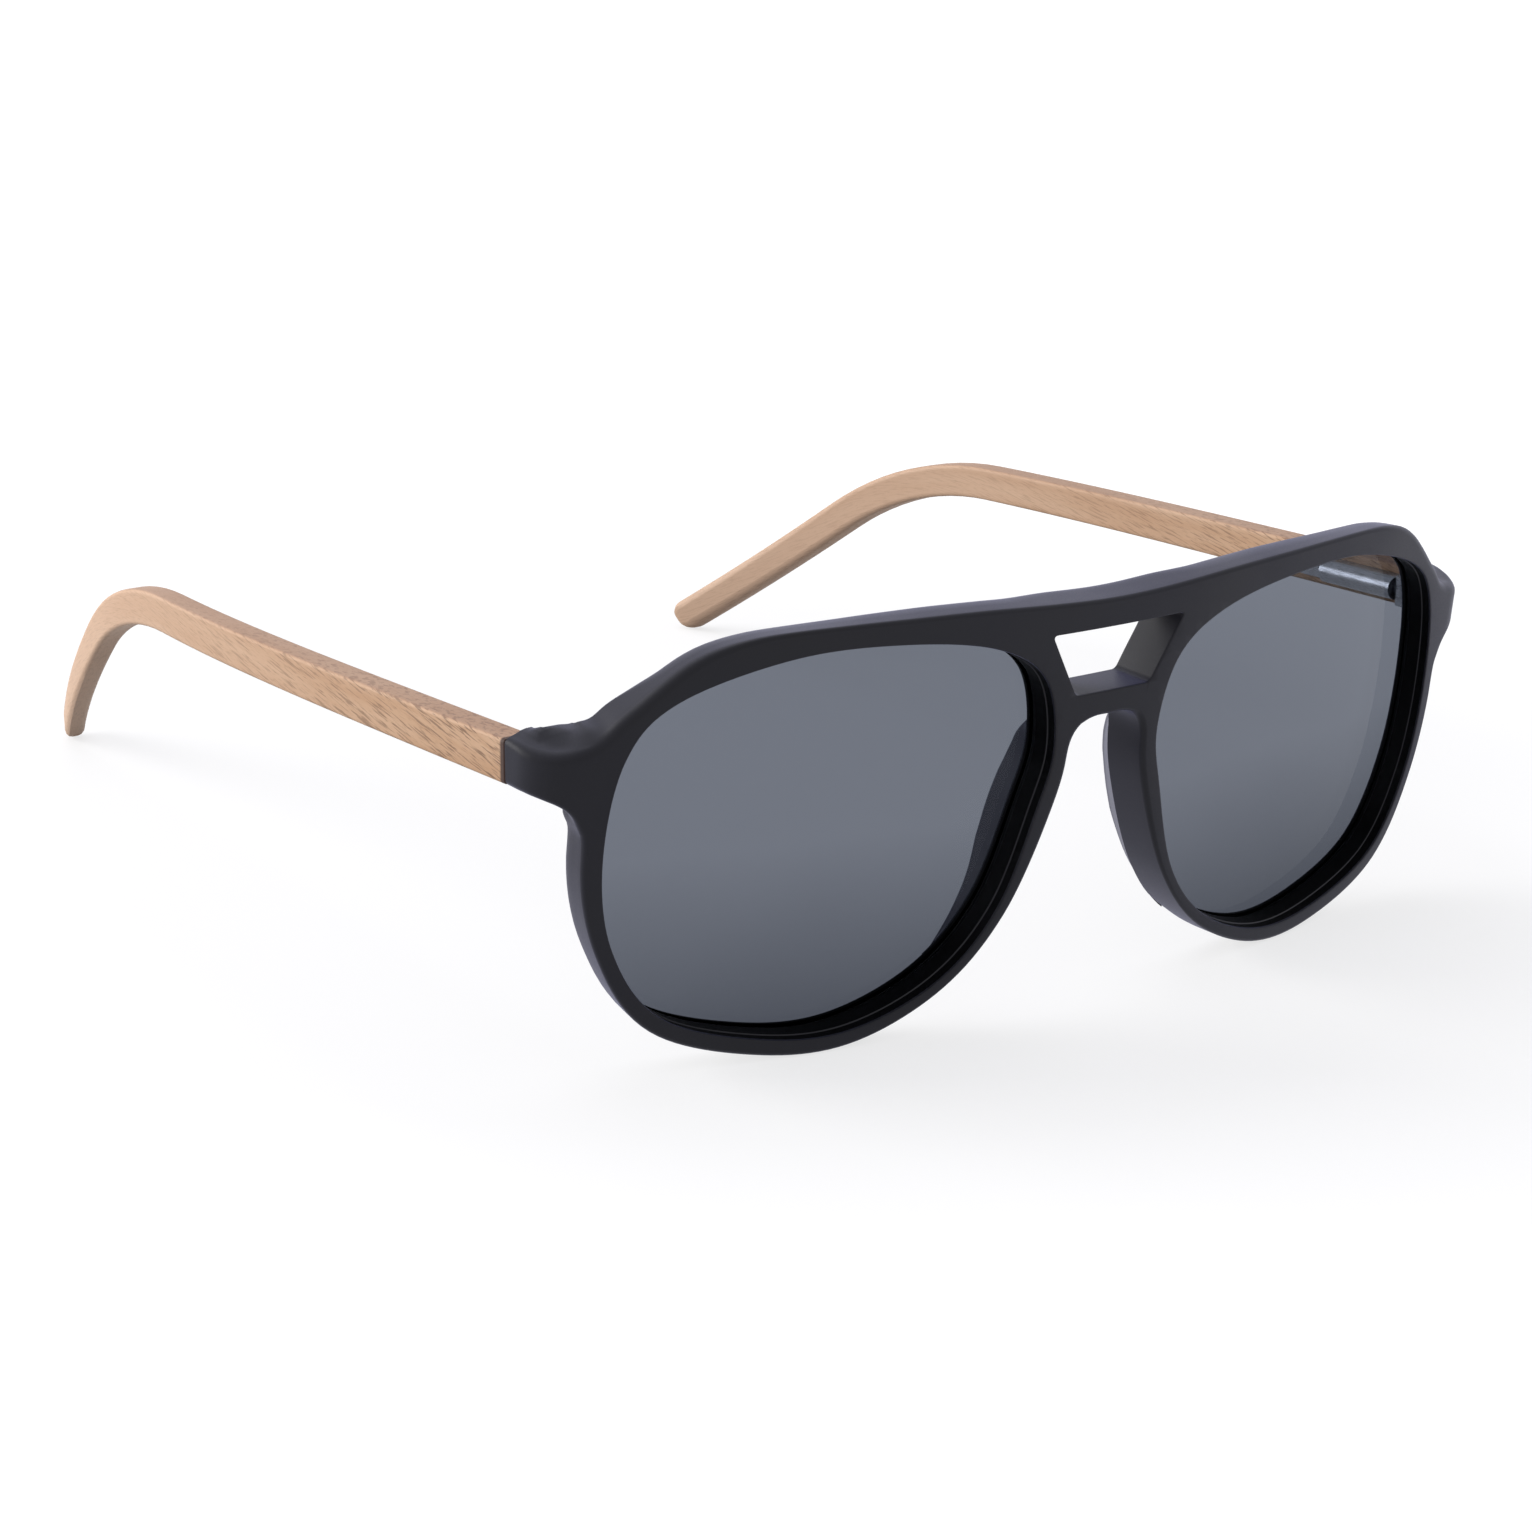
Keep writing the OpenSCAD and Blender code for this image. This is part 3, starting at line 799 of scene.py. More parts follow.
    def joint_plane(self, side: Side) -> tuple[Vector, Vector]:
        """Find the flat joint between an end piece and its temple.

        Args:
            side: Which end piece.

        Returns:
            A point on the joint in metres, and the direction along the temple.
        """
        drop = math.radians(self.sizes.temple_drop)
        point = Vector((side.value * self.axis_x, self.joint_y, self.joint_z)) * MM
        return point, Vector((0.0, math.cos(drop), -math.sin(drop)))

    def at_hinge(self, side: Side, u: float, v: float, w: float) -> Vector:
        """Find a place given from a hinge axis.

        Args:
            side: Which hinge.
            u: Distance outwards.
            v: Distance along the temple.
            w: Height along the hinge axis.

        Returns:
            The place, in metres.
        """
        drop = math.radians(self.sizes.temple_drop)
        y = v * math.cos(drop) + w * math.sin(drop) + self.joint_y
        z = -v * math.sin(drop) + w * math.cos(drop) + self.joint_z
        return Vector((side.value * (self.axis_x + u), y, z)) * MM


class MeshDraft:
    """Collects the points and faces of one piece, and makes its object."""

    JOIN_BEND: ClassVar[float] = 0.3
    JOIN_SHAPE: ClassVar[float] = 0.9

    def __init__(self, name: str) -> None:
        """Start an empty draft.

        Args:
            name: The piece's name.
        """
        self.name = name
        self.points: list[Vector] = []
        self.faces: list[tuple[int, ...]] = []
        self.second_slot: set[int] = set()

    def ring(self, places: Iterable[Vector]) -> list[int]:
        """Add points.

        Args:
            places: The points, in metres.

        Returns:
            Their numbers.
        """
        first = len(self.points)
        self.points.extend(places)
        return list(range(first, len(self.points)))

    def strip(self, a: Sequence[int], b: Sequence[int], second: bool = False) -> None:
        """Join two closed rings of as many points with faces.

        Args:
            a: One ring.
            b: The other ring.
            second: True where the faces take the piece's second finish.
        """
        for i in range(len(a)):
            if second:
                self.second_slot.add(len(self.faces))
            self.faces.append((a[i - 1], a[i], b[i], b[i - 1]))

    def loft(self, rings: Sequence[list[int]]) -> None:
        """Join rings in their order, and close the first and the last one.

        Args:
            rings: The rings, all of as many points.
        """
        for a, b in zip(rings, rings[1:]):
            self.strip(a, b)
        self.faces += [tuple(rings[0]), tuple(rings[-1])]

    def mesh(self) -> bmesh.types.BMesh:
        """Make the editable mesh, with its faces turned outwards.

        Returns:
            The mesh.
        """
        bm = bmesh.new()
        verts = [bm.verts.new(p) for p in self.points]
        for number, face in enumerate(self.faces):
            made = bm.faces.new([verts[i] for i in face])
            made.material_index = 1 if number in self.second_slot else 0
        bmesh.ops.recalc_face_normals(bm, faces=bm.faces)
        return bm

    def joined_mesh(self) -> bmesh.types.BMesh:
        """Make the editable mesh, with triangles that lie alike joined in pairs.

        Returns:
            The mesh.
        """
        bm = self.mesh()
        bmesh.ops.join_triangles(
            bm,
            faces=[f for f in bm.faces if len(f.verts) == 3],
            angle_face_threshold=self.JOIN_BEND,
            angle_shape_threshold=self.JOIN_SHAPE,
        )
        return bm

    def piece(self, bm: bmesh.types.BMesh, sharp: float = 40.0) -> bpy.types.Object:
        """Turn the finished mesh into an object with smooth faces and true edges.

        Args:
            bm: The finished mesh, which is used up.
            sharp: Angle from which an edge stays sharp.

        Returns:
            The object.
        """
        mesh = bpy.data.meshes.new(self.name)
        bm.to_mesh(mesh)
        bm.free()
        mesh.polygons.foreach_set("use_smooth", [True] * len(mesh.polygons))
        mesh.set_sharp_from_angle(angle=math.radians(sharp))
        made = bpy.data.objects.new(self.name, mesh)
        bpy.context.scene.collection.objects.link(made)
        evened = made.modifiers.new("even_faces", "WEIGHTED_NORMAL")
        evened.keep_sharp = True
        return made


class Sheet:
    """Fills the flat face between an outer ring and the rings of its holes with small faces."""

    MERGE: ClassVar[float] = 1e-6

    def __init__(self, outer: Outline, holes: Sequence[Outline]) -> None:
        """Take the rings that bound the face.

        Args:
            outer: The outer ring.
            holes: The rings of the holes.
        """
        self.outer = outer
        self.holes = list(holes)
        self.extra: list[Flat] = []

    def holds(self, s: float, h: float) -> bool:
        """Say whether a point lies on the face."""
        return self.outer.holds(s, h) and not any(hole.holds(s, h) for hole in self.holes)

    def scatter(self, across: Sequence[float], up: Sequence[float], room: float) -> None:
        """Add inner points at the crossings of columns and rows.

        Args:
            across: Places of the columns.
            up: Heights of the rows.
            room: Least distance from the rings.
        """
        bounds = [p for ring in (self.outer, *self.holes) for p in ring.stations]
        for s in across:
            near = [p for p in bounds if abs(p.s - s) < room]
            for h in up:
                if self.holds(s, h) and all(math.hypot(p.s - s, p.h - h) > room for p in near):
                    self.extra.append((s, h))

    def triangles(self) -> list[tuple[int, ...]]:
        """Fill the face.

        Returns:
            Triangles whose numbers run through the outer ring, the holes and the inner points.
        """
        flat: list[Vector] = []
        edges: list[tuple[int, int]] = []
        for ring in (self.outer, *self.holes):
            first, count = len(flat), len(ring.stations)
            flat.extend(Vector((p.s, p.h)) for p in ring.stations)
            edges.extend((first + i, first + (i + 1) % count) for i in range(count))
        flat.extend(Vector(p) for p in self.extra)
        places, _, faces, origins, _, _ = delaunay_2d_cdt(flat, edges, [], 0, self.MERGE)
        made = []
        for face in faces:
            middle = sum((places[i] for i in face), Vector((0.0, 0.0))) / len(face)
            if self.holds(middle.x, middle.y):
                made.append(tuple(origins[i][0] for i in face))
        return made


class Board:
    """The nodes of a material or of the room, with short calls to add and join them."""

    def __init__(self, owner: bpy.types.Material | bpy.types.World) -> None:
        """Start with only the output.

        Args:
            owner: The new material or world.
        """
        self.owner = owner
        owner.use_nodes = True
        self.tree = owner.node_tree
        self.tree.nodes.clear()
        kind = "Material" if isinstance(owner, bpy.types.Material) else "World"
        self.output = self.add(f"ShaderNodeOutput{kind}")

    @classmethod
    def of_material(cls, name: str) -> Board:
        """Start a new material of the given name."""
        return cls(bpy.data.materials.new(name))

    def add(
        self,
        kind: str,
        settings: dict[str, object] | None = None,
        inputs: dict[str | int, object] | None = None,
    ) -> bpy.types.Node:
        """Add a node.

        Args:
            kind: Blender's name for the kind of node.
            settings: The node's own settings.
            inputs: A value, or another node's output, for each of its inputs.

        Returns:
            The node.
        """
        node = self.tree.nodes.new(kind)
        for key, value in (settings or {}).items():
            setattr(node, key, value)
        for key, value in (inputs or {}).items():
            if isinstance(value, Socket):
                self.tree.links.new(value, node.inputs[key])
            else:
                node.inputs[key].default_value = value
        return node

    def place(self) -> Socket:
        """Give the place on the object, in metres."""
        return self.add("ShaderNodeTexCoord").outputs["Object"]

    def noise(self, vector: Socket, scale: float = 1.0, detail: float = 2.0, twist: float = 0.0) -> Socket:
        """Add an even noise over a vector.

        Args:
            vector: Where the noise is read.
            scale: Number of patches for each unit of the vector.
            detail: Layers of finer noise.
            twist: How far the noise distorts itself.

        Returns:
            The noise, about 0.5.
        """
        inputs = {"Vector": vector, "Scale": scale, "Detail": detail, "Distortion": twist}
        return self.add("ShaderNodeTexNoise", inputs=inputs).outputs[0]

    def spread(self, value: Socket, span: Span, to: Span = (0.0, 1.0)) -> Socket:
        """Move a value from one range to another, held at both ends.

        Args:
            value: The value.
            span: Start and end of its range.
            to: What they become.

        Returns:
            The moved value.
        """
        inputs = {0: value, 1: span[0], 2: span[1], 3: to[0], 4: to[1]}
        return self.add("ShaderNodeMapRange", inputs=inputs).outputs[0]

    def blend(self, part: Socket | float, a: Socket | Colour, b: Socket | Colour) -> Socket:
        """Mix two colours, of which the second has the given share."""
        return self.add("ShaderNodeMix", {"data_type": "RGBA"}, {0: part, 6: a, 7: b}).outputs[2]

    def sum(self, kind: str, a: Socket | float, b: Socket | float) -> Socket:
        """Work out a sum of two values of the given kind."""
        return self.add("ShaderNodeMath", {"operation": kind}, {0: a, 1: b}).outputs[0]

    def stretched(self, vector: Socket, scale: Triple, turn: Triple = (0.0, 0.0, 0.0)) -> Socket:
        """Turn a vector, then stretch it.

        Args:
            vector: The vector.
            scale: Stretch along each axis.
            turn: Turn about each axis, in degrees.

        Returns:
            The new vector.
        """
        angles = tuple(math.radians(t) for t in turn)
        turned = self.add("ShaderNodeMapping", inputs={"Vector": vector, "Rotation": angles}).outputs[0]
        return self.add("ShaderNodeMapping", inputs={"Vector": turned, "Scale": scale}).outputs[0]

    def bump(self, height: Socket, strength: float, depth_mm: float) -> Socket:
        """Turn a height into a bumped normal of the given depth."""
        inputs = {"Strength": strength, "Distance": depth_mm * MM, "Height": height}
        return self.add("ShaderNodeBump", inputs=inputs).outputs[0]

    def close(self, shader: Socket) -> None:
        """Lead a shader to the output."""
        self.tree.links.new(shader, self.output.inputs["Surface"])

    def surface(self, inputs: dict[str | int, object]) -> bpy.types.Material:
        """Finish a material with one main shader.

        Args:
            inputs: Values and outputs for the shader's inputs.

        Returns:
            The finished material.
        """
        self.close(self.add("ShaderNodeBsdfPrincipled", inputs=inputs).outputs[0])
        return self.owner


class Finish:
    """A finish that can dress objects, and makes its material once."""

    made: ClassVar[dict[Finish, bpy.types.Material]] = {}

    def material(self) -> bpy.types.Material:
        """Make the finish's material."""
        raise NotImplementedError

    def dress(self, *objects: bpy.types.Object) -> None:
        """Give objects this finish alone.

        Args:
            objects: The objects.
        """
        if self not in self.made:
            self.made[self] = self.material()
        for item in objects:
            while item.data.materials:
                item.data.materials.pop()
            item.data.materials.append(self.made[self])


@dataclass(frozen=True)
class MouldedPlastic(Finish):
    """Satin moulded plastic with a fine spark-eroded grain and edges rubbed a little smoother."""

    name: str
    body: Colour
    cloud: Colour
    rubbed: Colour
    rough: float = 0.46
    shine: float = 0.25
    sheen: float = 0.3
    sheen_rough: float = 0.45
    sheen_tint: Colour = field(default_factory=lambda: shade(186, 188, 240))
    cloud_scale: float = 70.0
    cloud_span: Span = (0.35, 0.65)
    cloud_rough: Span = (-0.05, 0.05)
    wear_scale: float = 260.0
    wear_span: Span = (0.42, 0.7)
    wear_edges: Span = (0.53, 0.62)
    wear_share: float = 0.5
    wear_smooth: float = 0.08
    grain_mm: float = 0.16
    grain_depth_mm: float = 0.012
    grain_strength: float = 0.22
    grain_rough: Span = (-0.05, 0.03)

    def material(self) -> bpy.types.Material:
        """Make the plastic.

        Returns:
            The material.
        """
        board = Board.of_material(self.name)
        place = board.place()
        clouds = board.noise(place, self.cloud_scale, 3.0)
        grain = board.noise(place, 1.0 / (self.grain_mm * MM))
        edges = board.spread(board.add("ShaderNodeNewGeometry").outputs["Pointiness"], self.wear_edges)
        patches = board.spread(board.noise(place, self.wear_scale, 4.0), self.wear_span)
        wear = board.sum("MULTIPLY", edges, patches)
        colour = board.blend(board.spread(clouds, self.cloud_span), self.body, self.cloud)
        colour = board.blend(board.sum("MULTIPLY", wear, self.wear_share), colour, self.rubbed)
        patchy = board.spread(clouds, NOISE_SPAN, self.cloud_rough)
        fine = board.spread(grain, NOISE_SPAN, tuple(self.rough + change for change in self.grain_rough))
        rough = board.sum("ADD", fine, patchy)
        rough = board.sum("SUBTRACT", rough, board.sum("MULTIPLY", wear, self.wear_smooth))
        return board.surface(
            {
                "Base Color": colour,
                "Roughness": rough,
                "Specular IOR Level": self.shine,
                "Sheen Weight": self.sheen,
                "Sheen Roughness": self.sheen_rough,
                "Sheen Tint": self.sheen_tint,
                "Normal": board.bump(grain, self.grain_strength, self.grain_depth_mm),
            }
        )


@dataclass(frozen=True)
class TintedLens(Finish):
    """Blue-grey tinted lens, darker towards its lower edge, with a faintly mirroring face."""

    name: str = "lens_tint"
    brow_colour: Colour = field(default_factory=lambda: shade(113, 118, 128))
    low_colour: Colour = field(default_factory=lambda: shade(77, 81, 90))
    fade_mm: Span = (3.0, 26.0)
    waver_mm: float = 4.0
    waver_scale: float = 45.0
    smear_scale: Triple = (60.0, 60.0, 160.0)
    smear_span: Span = (0.35, 0.75)
    smear_rough: Span = (0.015, 0.045)
    bending: float = 1.1
    shine: float = 0.2

    def material(self) -> bpy.types.Material:
        """Make the tinted lens.

        Returns:
            The material.
        """
        board = Board.of_material(self.name)
        place = board.place()
        up = board.add("ShaderNodeSeparateXYZ", inputs={0: place}).outputs["Z"]
        waver = board.sum("MULTIPLY", board.noise(place, self.waver_scale), self.waver_mm * MM)
        height = board.sum("ADD", up, waver)
        fade = board.spread(height, tuple(mm * MM for mm in self.fade_mm))
        smear = board.noise(board.stretched(place, self.smear_scale), detail=3.0)
        return board.surface(
            {
                "Base Color": board.blend(fade, self.low_colour, self.brow_colour),
                "Roughness": board.spread(smear, self.smear_span, self.smear_rough),
                "IOR": self.bending,
                "Transmission Weight": 1.0,
                "Specular IOR Level": self.shine,
            }
        )


@dataclass(frozen=True)
class GroundEdge(Finish):
    """The lens's ground edge, dark because its groove lets no light in."""

    name: str = "lens_ground_edge"
    dark: Colour = field(default_factory=lambda: shade(16, 17, 20))
    pale: Colour = field(default_factory=lambda: shade(30, 31, 35))
    ground_scale: float = 2400.0
    ground_span: Span = (0.35, 0.7)
    ground_rough: Span = (0.55, 0.75)
    ground_strength: float = 0.3
    ground_depth_mm: float = 0.01

    def material(self) -> bpy.types.Material:
        """Make the ground edge.

        Returns:
            The material.
        """
        board = Board.of_material(self.name)
        ground = board.noise(board.place(), self.ground_scale, 3.0)
        return board.surface(
            {
                "Base Color": board.blend(board.spread(ground, self.ground_span), self.dark, self.pale),
                "Roughness": board.spread(ground, NOISE_SPAN, self.ground_rough),
                "Normal": board.bump(ground, self.ground_strength, self.ground_depth_mm),
            }
        )


@dataclass(frozen=True)
class LightWood(Finish):
    """Oiled light wood with slanting brown flecks near the hinge, a paler tip and painted shade on its top
    face.

    The grain's scales are patches for each millimetre along the temple, through it and up it.
    """

    name: str = "temple_wood"
    tan: Colour = field(default_factory=lambda: shade(208, 173, 142))
    warm: Colour = field(default_factory=lambda: shade(190, 150, 116))
    fleck: Colour = field(default_factory=lambda: shade(112, 82, 60))
    tip: Colour = field(default_factory=lambda: shade(208, 177, 152))
    stain: Colour = field(default_factory=lambda: shade(58, 34, 24))
    # Darker mauve of painted shade for the temple's top face.
    top: Colour = field(default_factory=lambda: shade(158, 126, 110))
    slant: float = 13.0
    broad_scale: Triple = (0.03, 0.3, 0.3)
    broad_span: Span = (0.35, 0.65)
    figure_scale: Triple = (0.06, 0.7, 1.3)
    figure_span: Span = (0.46, 0.66)
    figure_share: float = 0.55
    fleck_scale: Triple = (0.3, 1.8, 4.4)
    fleck_span: Span = (0.52, 0.63)
    fleck_share: float = 0.85
    pore_scale: Triple = (0.8, 8.0, 8.0)
    pore_span: Span = (0.55, 0.75)
    pore_shares: Span = (0.0, 0.22)
    pore_rough: Span = (0.5, 0.62)
    pore_height: float = -0.6
    near_mm: Span = (0.0, 85.0)
    near_shares: Span = (1.0, 0.15)
    tip_mm: Span = (20.0, 120.0)
    tip_share: float = 0.75
    painted_shade_top_mm: Span = (2.34, 2.46)
    painted_shade_top_shares: Span = (0.0, 0.5)
    stain_mm: Span = (0.6, 0.95)
    shine: float = 0.35
    grain_strength: float = 0.3
    grain_depth_mm: float = 0.03

    def material(self) -> bpy.types.Material:
        """Make the wood, which follows the temple's own length, thickness and height.

        Returns:
            The material.
        """
        board = Board.of_material(self.name)
        grain = board.add("ShaderNodeAttribute", {"attribute_name": "grain"}).outputs["Vector"]
        parts = board.add("ShaderNodeSeparateXYZ", inputs={0: grain}).outputs
        along, up = parts["X"], parts["Z"]
        slant, half_slant = (0.0, self.slant, 0.0), (0.0, self.slant / 2, 0.0)
        broad = board.noise(board.stretched(grain, self.broad_scale), detail=3.0)
        figure = board.noise(board.stretched(grain, self.figure_scale, slant), detail=5.0, twist=0.8)
        flecks = board.noise(board.stretched(grain, self.fleck_scale, slant), detail=3.0, twist=0.4)
        pores = board.noise(board.stretched(grain, self.pore_scale, half_slant), detail=3.0)
        fade = board.spread(along, self.tip_mm)
        near = board.spread(along, self.near_mm, self.near_shares)
        colour = board.blend(board.spread(broad, self.broad_span), self.tan, self.warm)
        figured = board.sum("MULTIPLY", near, self.figure_share)
        lines = board.sum("MULTIPLY", board.spread(figure, self.figure_span), figured)
        colour = board.blend(lines, colour, self.warm)
        colour = board.blend(board.sum("MULTIPLY", fade, self.tip_share), colour, self.tip)
        dark = board.sum("MULTIPLY", board.spread(flecks, self.fleck_span), near)
        colour = board.blend(board.sum("MULTIPLY", dark, self.fleck_share), colour, self.fleck)
        colour = board.blend(board.spread(pores, self.pore_span, self.pore_shares), colour, self.fleck)
        # Painted shade: the top face is darkened.
        colour = board.blend(board.spread(up, self.painted_shade_top_mm, self.painted_shade_top_shares), colour, self.top)
        colour = board.blend(board.spread(along, self.stain_mm, (1.0, 0.0)), colour, self.stain)
        height = board.sum("SUBTRACT", board.sum("MULTIPLY", pores, self.pore_height), dark)
        return board.surface(
            {
                "Base Color": colour,
                "Roughness": board.spread(pores, NOISE_SPAN, self.pore_rough),
                "Specular IOR Level": self.shine,
                "Normal": board.bump(height, self.grain_strength, self.grain_depth_mm),
            }
        )


class MetalTone(Enum):
    """The metals of a hinge: their colour in a mirror and how rough they are."""

    STEEL = ("hinge_steel", (176, 178, 182), 0.3)
    SCREW = ("screw_steel", (206, 206, 208), 0.22)
    SPRING = ("spring_steel", (150, 154, 162), 0.26)
    BRASS = ("stop_brass", (206, 170, 98), 0.28)


@dataclass(frozen=True)
class HingeMetal(Finish):
    """Small machined metal, drawn along the temple, with faint scratches."""

    tone: MetalTone
    drawn_scale: Triple = (9000.0, 500.0, 9000.0)
    drawn_rough: Span = (-0.08, 0.12)
    drawn_strength: float = 0.12
    drawn_depth_mm: float = 0.004
    cloud_scale: float = 700.0
    cloud_span: Span = (0.4, 0.75)
    cloud_shares: Span = (0.0, 0.6)
    cloud_shade: float = 0.7

    def material(self) -> bpy.types.Material:
        """Make the metal.

        Returns:
            The material.
        """
        name, seen, rough = self.tone.value
        board = Board.of_material(name)
        place = board.place()
        drawn = board.noise(board.stretched(place, self.drawn_scale))
        clouds = board.noise(place, self.cloud_scale, 3.0)
        bright = shade(*seen)
        deep = tuple(self.cloud_shade * c for c in bright[:3]) + (1.0,)
        clouded = board.spread(clouds, self.cloud_span, self.cloud_shares)
        return board.surface(
            {
                "Base Color": board.blend(clouded, bright, deep),
                "Metallic": 1.0,
                "Roughness": board.spread(drawn, NOISE_SPAN, tuple(rough + c for c in self.drawn_rough)),
                "Normal": board.bump(drawn, self.drawn_strength, self.drawn_depth_mm),
            }
        )


def front_edge(size: float, steps: int) -> list[Flat]:
    """Round an edge of the front face: pairs of a distance into the plastic and a depth."""
    return [(size * (1 - math.sin(a)), size * (1 - math.cos(a))) for a in arc_angles(90.0, steps)]


def back_edge(into: float, run: float, deep: float, steps: int) -> list[Flat]:
    """Round an edge of the back face: pairs of a distance into the plastic and a depth.

    Args:
        into: How far the rounding goes into the back face.
        run: How far it goes down the wall.
        deep: Depth of the back face.
        steps: Steps of the rounding.

    Returns:
        The pairs, from the wall to the back face.
    """
    return [(into * (1 - math.cos(a)), deep - run * (1 - math.sin(a))) for a in arc_angles(90.0, steps)]


@dataclass(frozen=True)
class FaceGrid:
    """How closely the front and back faces are meshed on the end pieces and round the bridge."""

    past_joint: float = 1.4
    end_under: float = 3.5
    end_over: float = 0.5
    end_rows: int = 14
    end_room: float = 0.42
    bridge_step: float = 1.7
    bridge_columns: int = 9
    bridge_rows: int = 11
    bridge_under: float = 4.0
    bridge_room: float = 0.9


@dataclass
class MouldedFront:
    """The moulded front: rims, double bridge, window and end pieces in one piece.

    A span is a stretch along the front over which one form passes into the next.
    """

    plan: FrontPlan
    outlines: FrontOutlines
    finish: Finish
    # Near-black finish of painted shade for the inner walls of the lens openings.
    painted_shade_finish: Finish
    grid: FaceGrid = FaceGrid()
    front_round: float = 0.7
    brow_round: float = 0.5
    crease_round: float = 1.15
    crease_span: Span = (42.0, 58.0)
    joint_round: float = 0.8
    joint_span: Span = (70.0, 74.5)
    top_fall: float = 0.12
    fall_span: Span = (24.0, 44.0)
    sweep_span: Span = (56.0, 62.0)
    under_span: Span = (65.2, 68.0)
    plain_past: Span = (0.6, 1.2)
    back_round: float = 1.3
    back_share: float = 0.55
    back_run: float = 2.3
    bridge_round: float = 0.8
    bridge_run: float = 2.0
    bridge_span: Span = (8.0, 16.0)
    bridge_under: float = 6.0
    end_round: float = 0.4
    pad_round: float = 0.12
    pad_fade: float = 2.0
    pad_fade_over: float = 1.0
    opening_round: float = 0.28
    window_round: float = 0.25
    ledge: float = 0.12
    ledge_depth: float = 1.3
    round_steps: int = 5
    small_steps: int = 2
    wall_steps: int = 4
    trim_from: float = 62.0
    weld: float = 0.02
    # Rows of an opening's wall that take the painted shade; the ledge's row keeps the frame plastic.
    painted_shade_rows: tuple[int, ...] = (2, 4, 5, 6, 7, 8)

    def back_rounding(self, p: Station) -> Flat:
        """Give the rounding of the outer back edge at a station.

        Args:
            p: A station of the outer edge.

        Returns:
            How far it goes into the back face, and how far down the wall.
        """
        z = self.plan.sizes
        s = abs(p.s)
        outside = max((s - z.lens_s) / (z.lens_w / 2), 0.0)
        room = z.rim_w * p.width - z.rim_depth * math.tan(z.lens_a) * outside
        into = min(self.back_round, self.back_share * room)
        run = self.back_run * into
        if p.h > z.lower_bridge_z - self.bridge_under:
            bridge = 1.0 - smooth_step(*self.bridge_span, s)
            into = mixed(into, self.bridge_round, bridge)
            run = mixed(run, self.bridge_run * self.bridge_round, bridge)
        end = smooth_step(*(self.sweep_span if p.h > z.hinge_up else self.under_span), s)
        kept = mixed(self.end_round, self.pad_round, self.pad_share(p))
        share = max(end, self.pad_share(p))
        return mixed(into, kept, share), mixed(run, kept, share)

    def pad_share(self, p: Station) -> float:
        """Say how far a station of the outer edge belongs to a nose pad.

        Args:
            p: A station of the outer edge.

        Returns:
            A share from 0 to 1.
        """
        z, fade = self.plan.sizes, self.pad_fade
        outside = smooth_step(z.pad_to - fade, z.pad_to + fade, abs(p.s))
        lower = smooth_step(z.pad_low - fade, z.pad_low + fade, p.h)
        over = smooth_step(z.pad_high - fade, z.pad_high + self.pad_fade_over, p.h)
        return (1.0 - outside) * lower * (1.0 - over)

    def outer_profile(self, p: Station) -> list[Flat]:
        """Go from the front face round the outer wall to the back face.

        Args:
            p: A station of the outer edge.

        Returns:
            Pairs of a distance into the plastic and a depth.
        """
        deep = self.plan.depth(p.s, p.h)
        s = abs(p.s)
        front, fall = self.front_round * p.width, 0.0
        if p.h > self.plan.sizes.hinge_up:
            front = mixed(self.brow_round, self.crease_round, smooth_step(*self.crease_span, s))
            fall = self.top_fall * smooth_step(*self.fall_span, s)
            fall *= 1.0 - smooth_step(*self.sweep_span, s)
        front = mixed(front, self.joint_round, smooth_step(*self.joint_span, s))
        into, run = self.back_rounding(p)
        made = front_edge(front, self.round_steps)
        made += [(0.0, mixed(front, deep - run, k / self.wall_steps)) for k in range(1, self.wall_steps)]
        made += back_edge(into, run, deep, self.round_steps)
        kept = 1.0 - smooth_step(*(self.plan.joint_s + past for past in self.plain_past), s)
        return [(kept * (inset + fall * d), d) for inset, d in made]

    def opening_profile(self, p: Station) -> list[Flat]:
        """Go from the front face through a lens opening, past its ledge and groove, to the back face.

        Args:
            p: A station of the opening.

        Returns:
            Pairs of a distance into the plastic and a depth.
        """
        z = self.plan.sizes
        deep = self.plan.depth(p.s, p.h)
        r, step = self.opening_round, self.ledge
        groove = z.groove_depth + z.run_gap
        near, far = z.lens_recess - z.run_gap, z.lens_recess + z.lens_t + z.run_gap
        made = [(step + inset, d) for inset, d in front_edge(r, self.small_steps)]
        made += [(step, self.ledge_depth), (0.0, self.ledge_depth + step), (0.0, near), (groove, near)]
        made += [(groove, far), (0.0, far)]
        return made + back_edge(r, r, deep, self.small_steps)

    def window_profile(self, p: Station) -> list[Flat]:
        """Go from the front face through the bridge window to the back face.

        Args:
            p: A station of the window.

        Returns:
            Pairs of a distance into the plastic and a depth.
        """
        deep, r = self.plan.depth(p.s, p.h), self.window_round
        made = front_edge(r, self.small_steps)
        made.append((0.0, deep / 2))
        return made + back_edge(r, r, deep, self.small_steps)

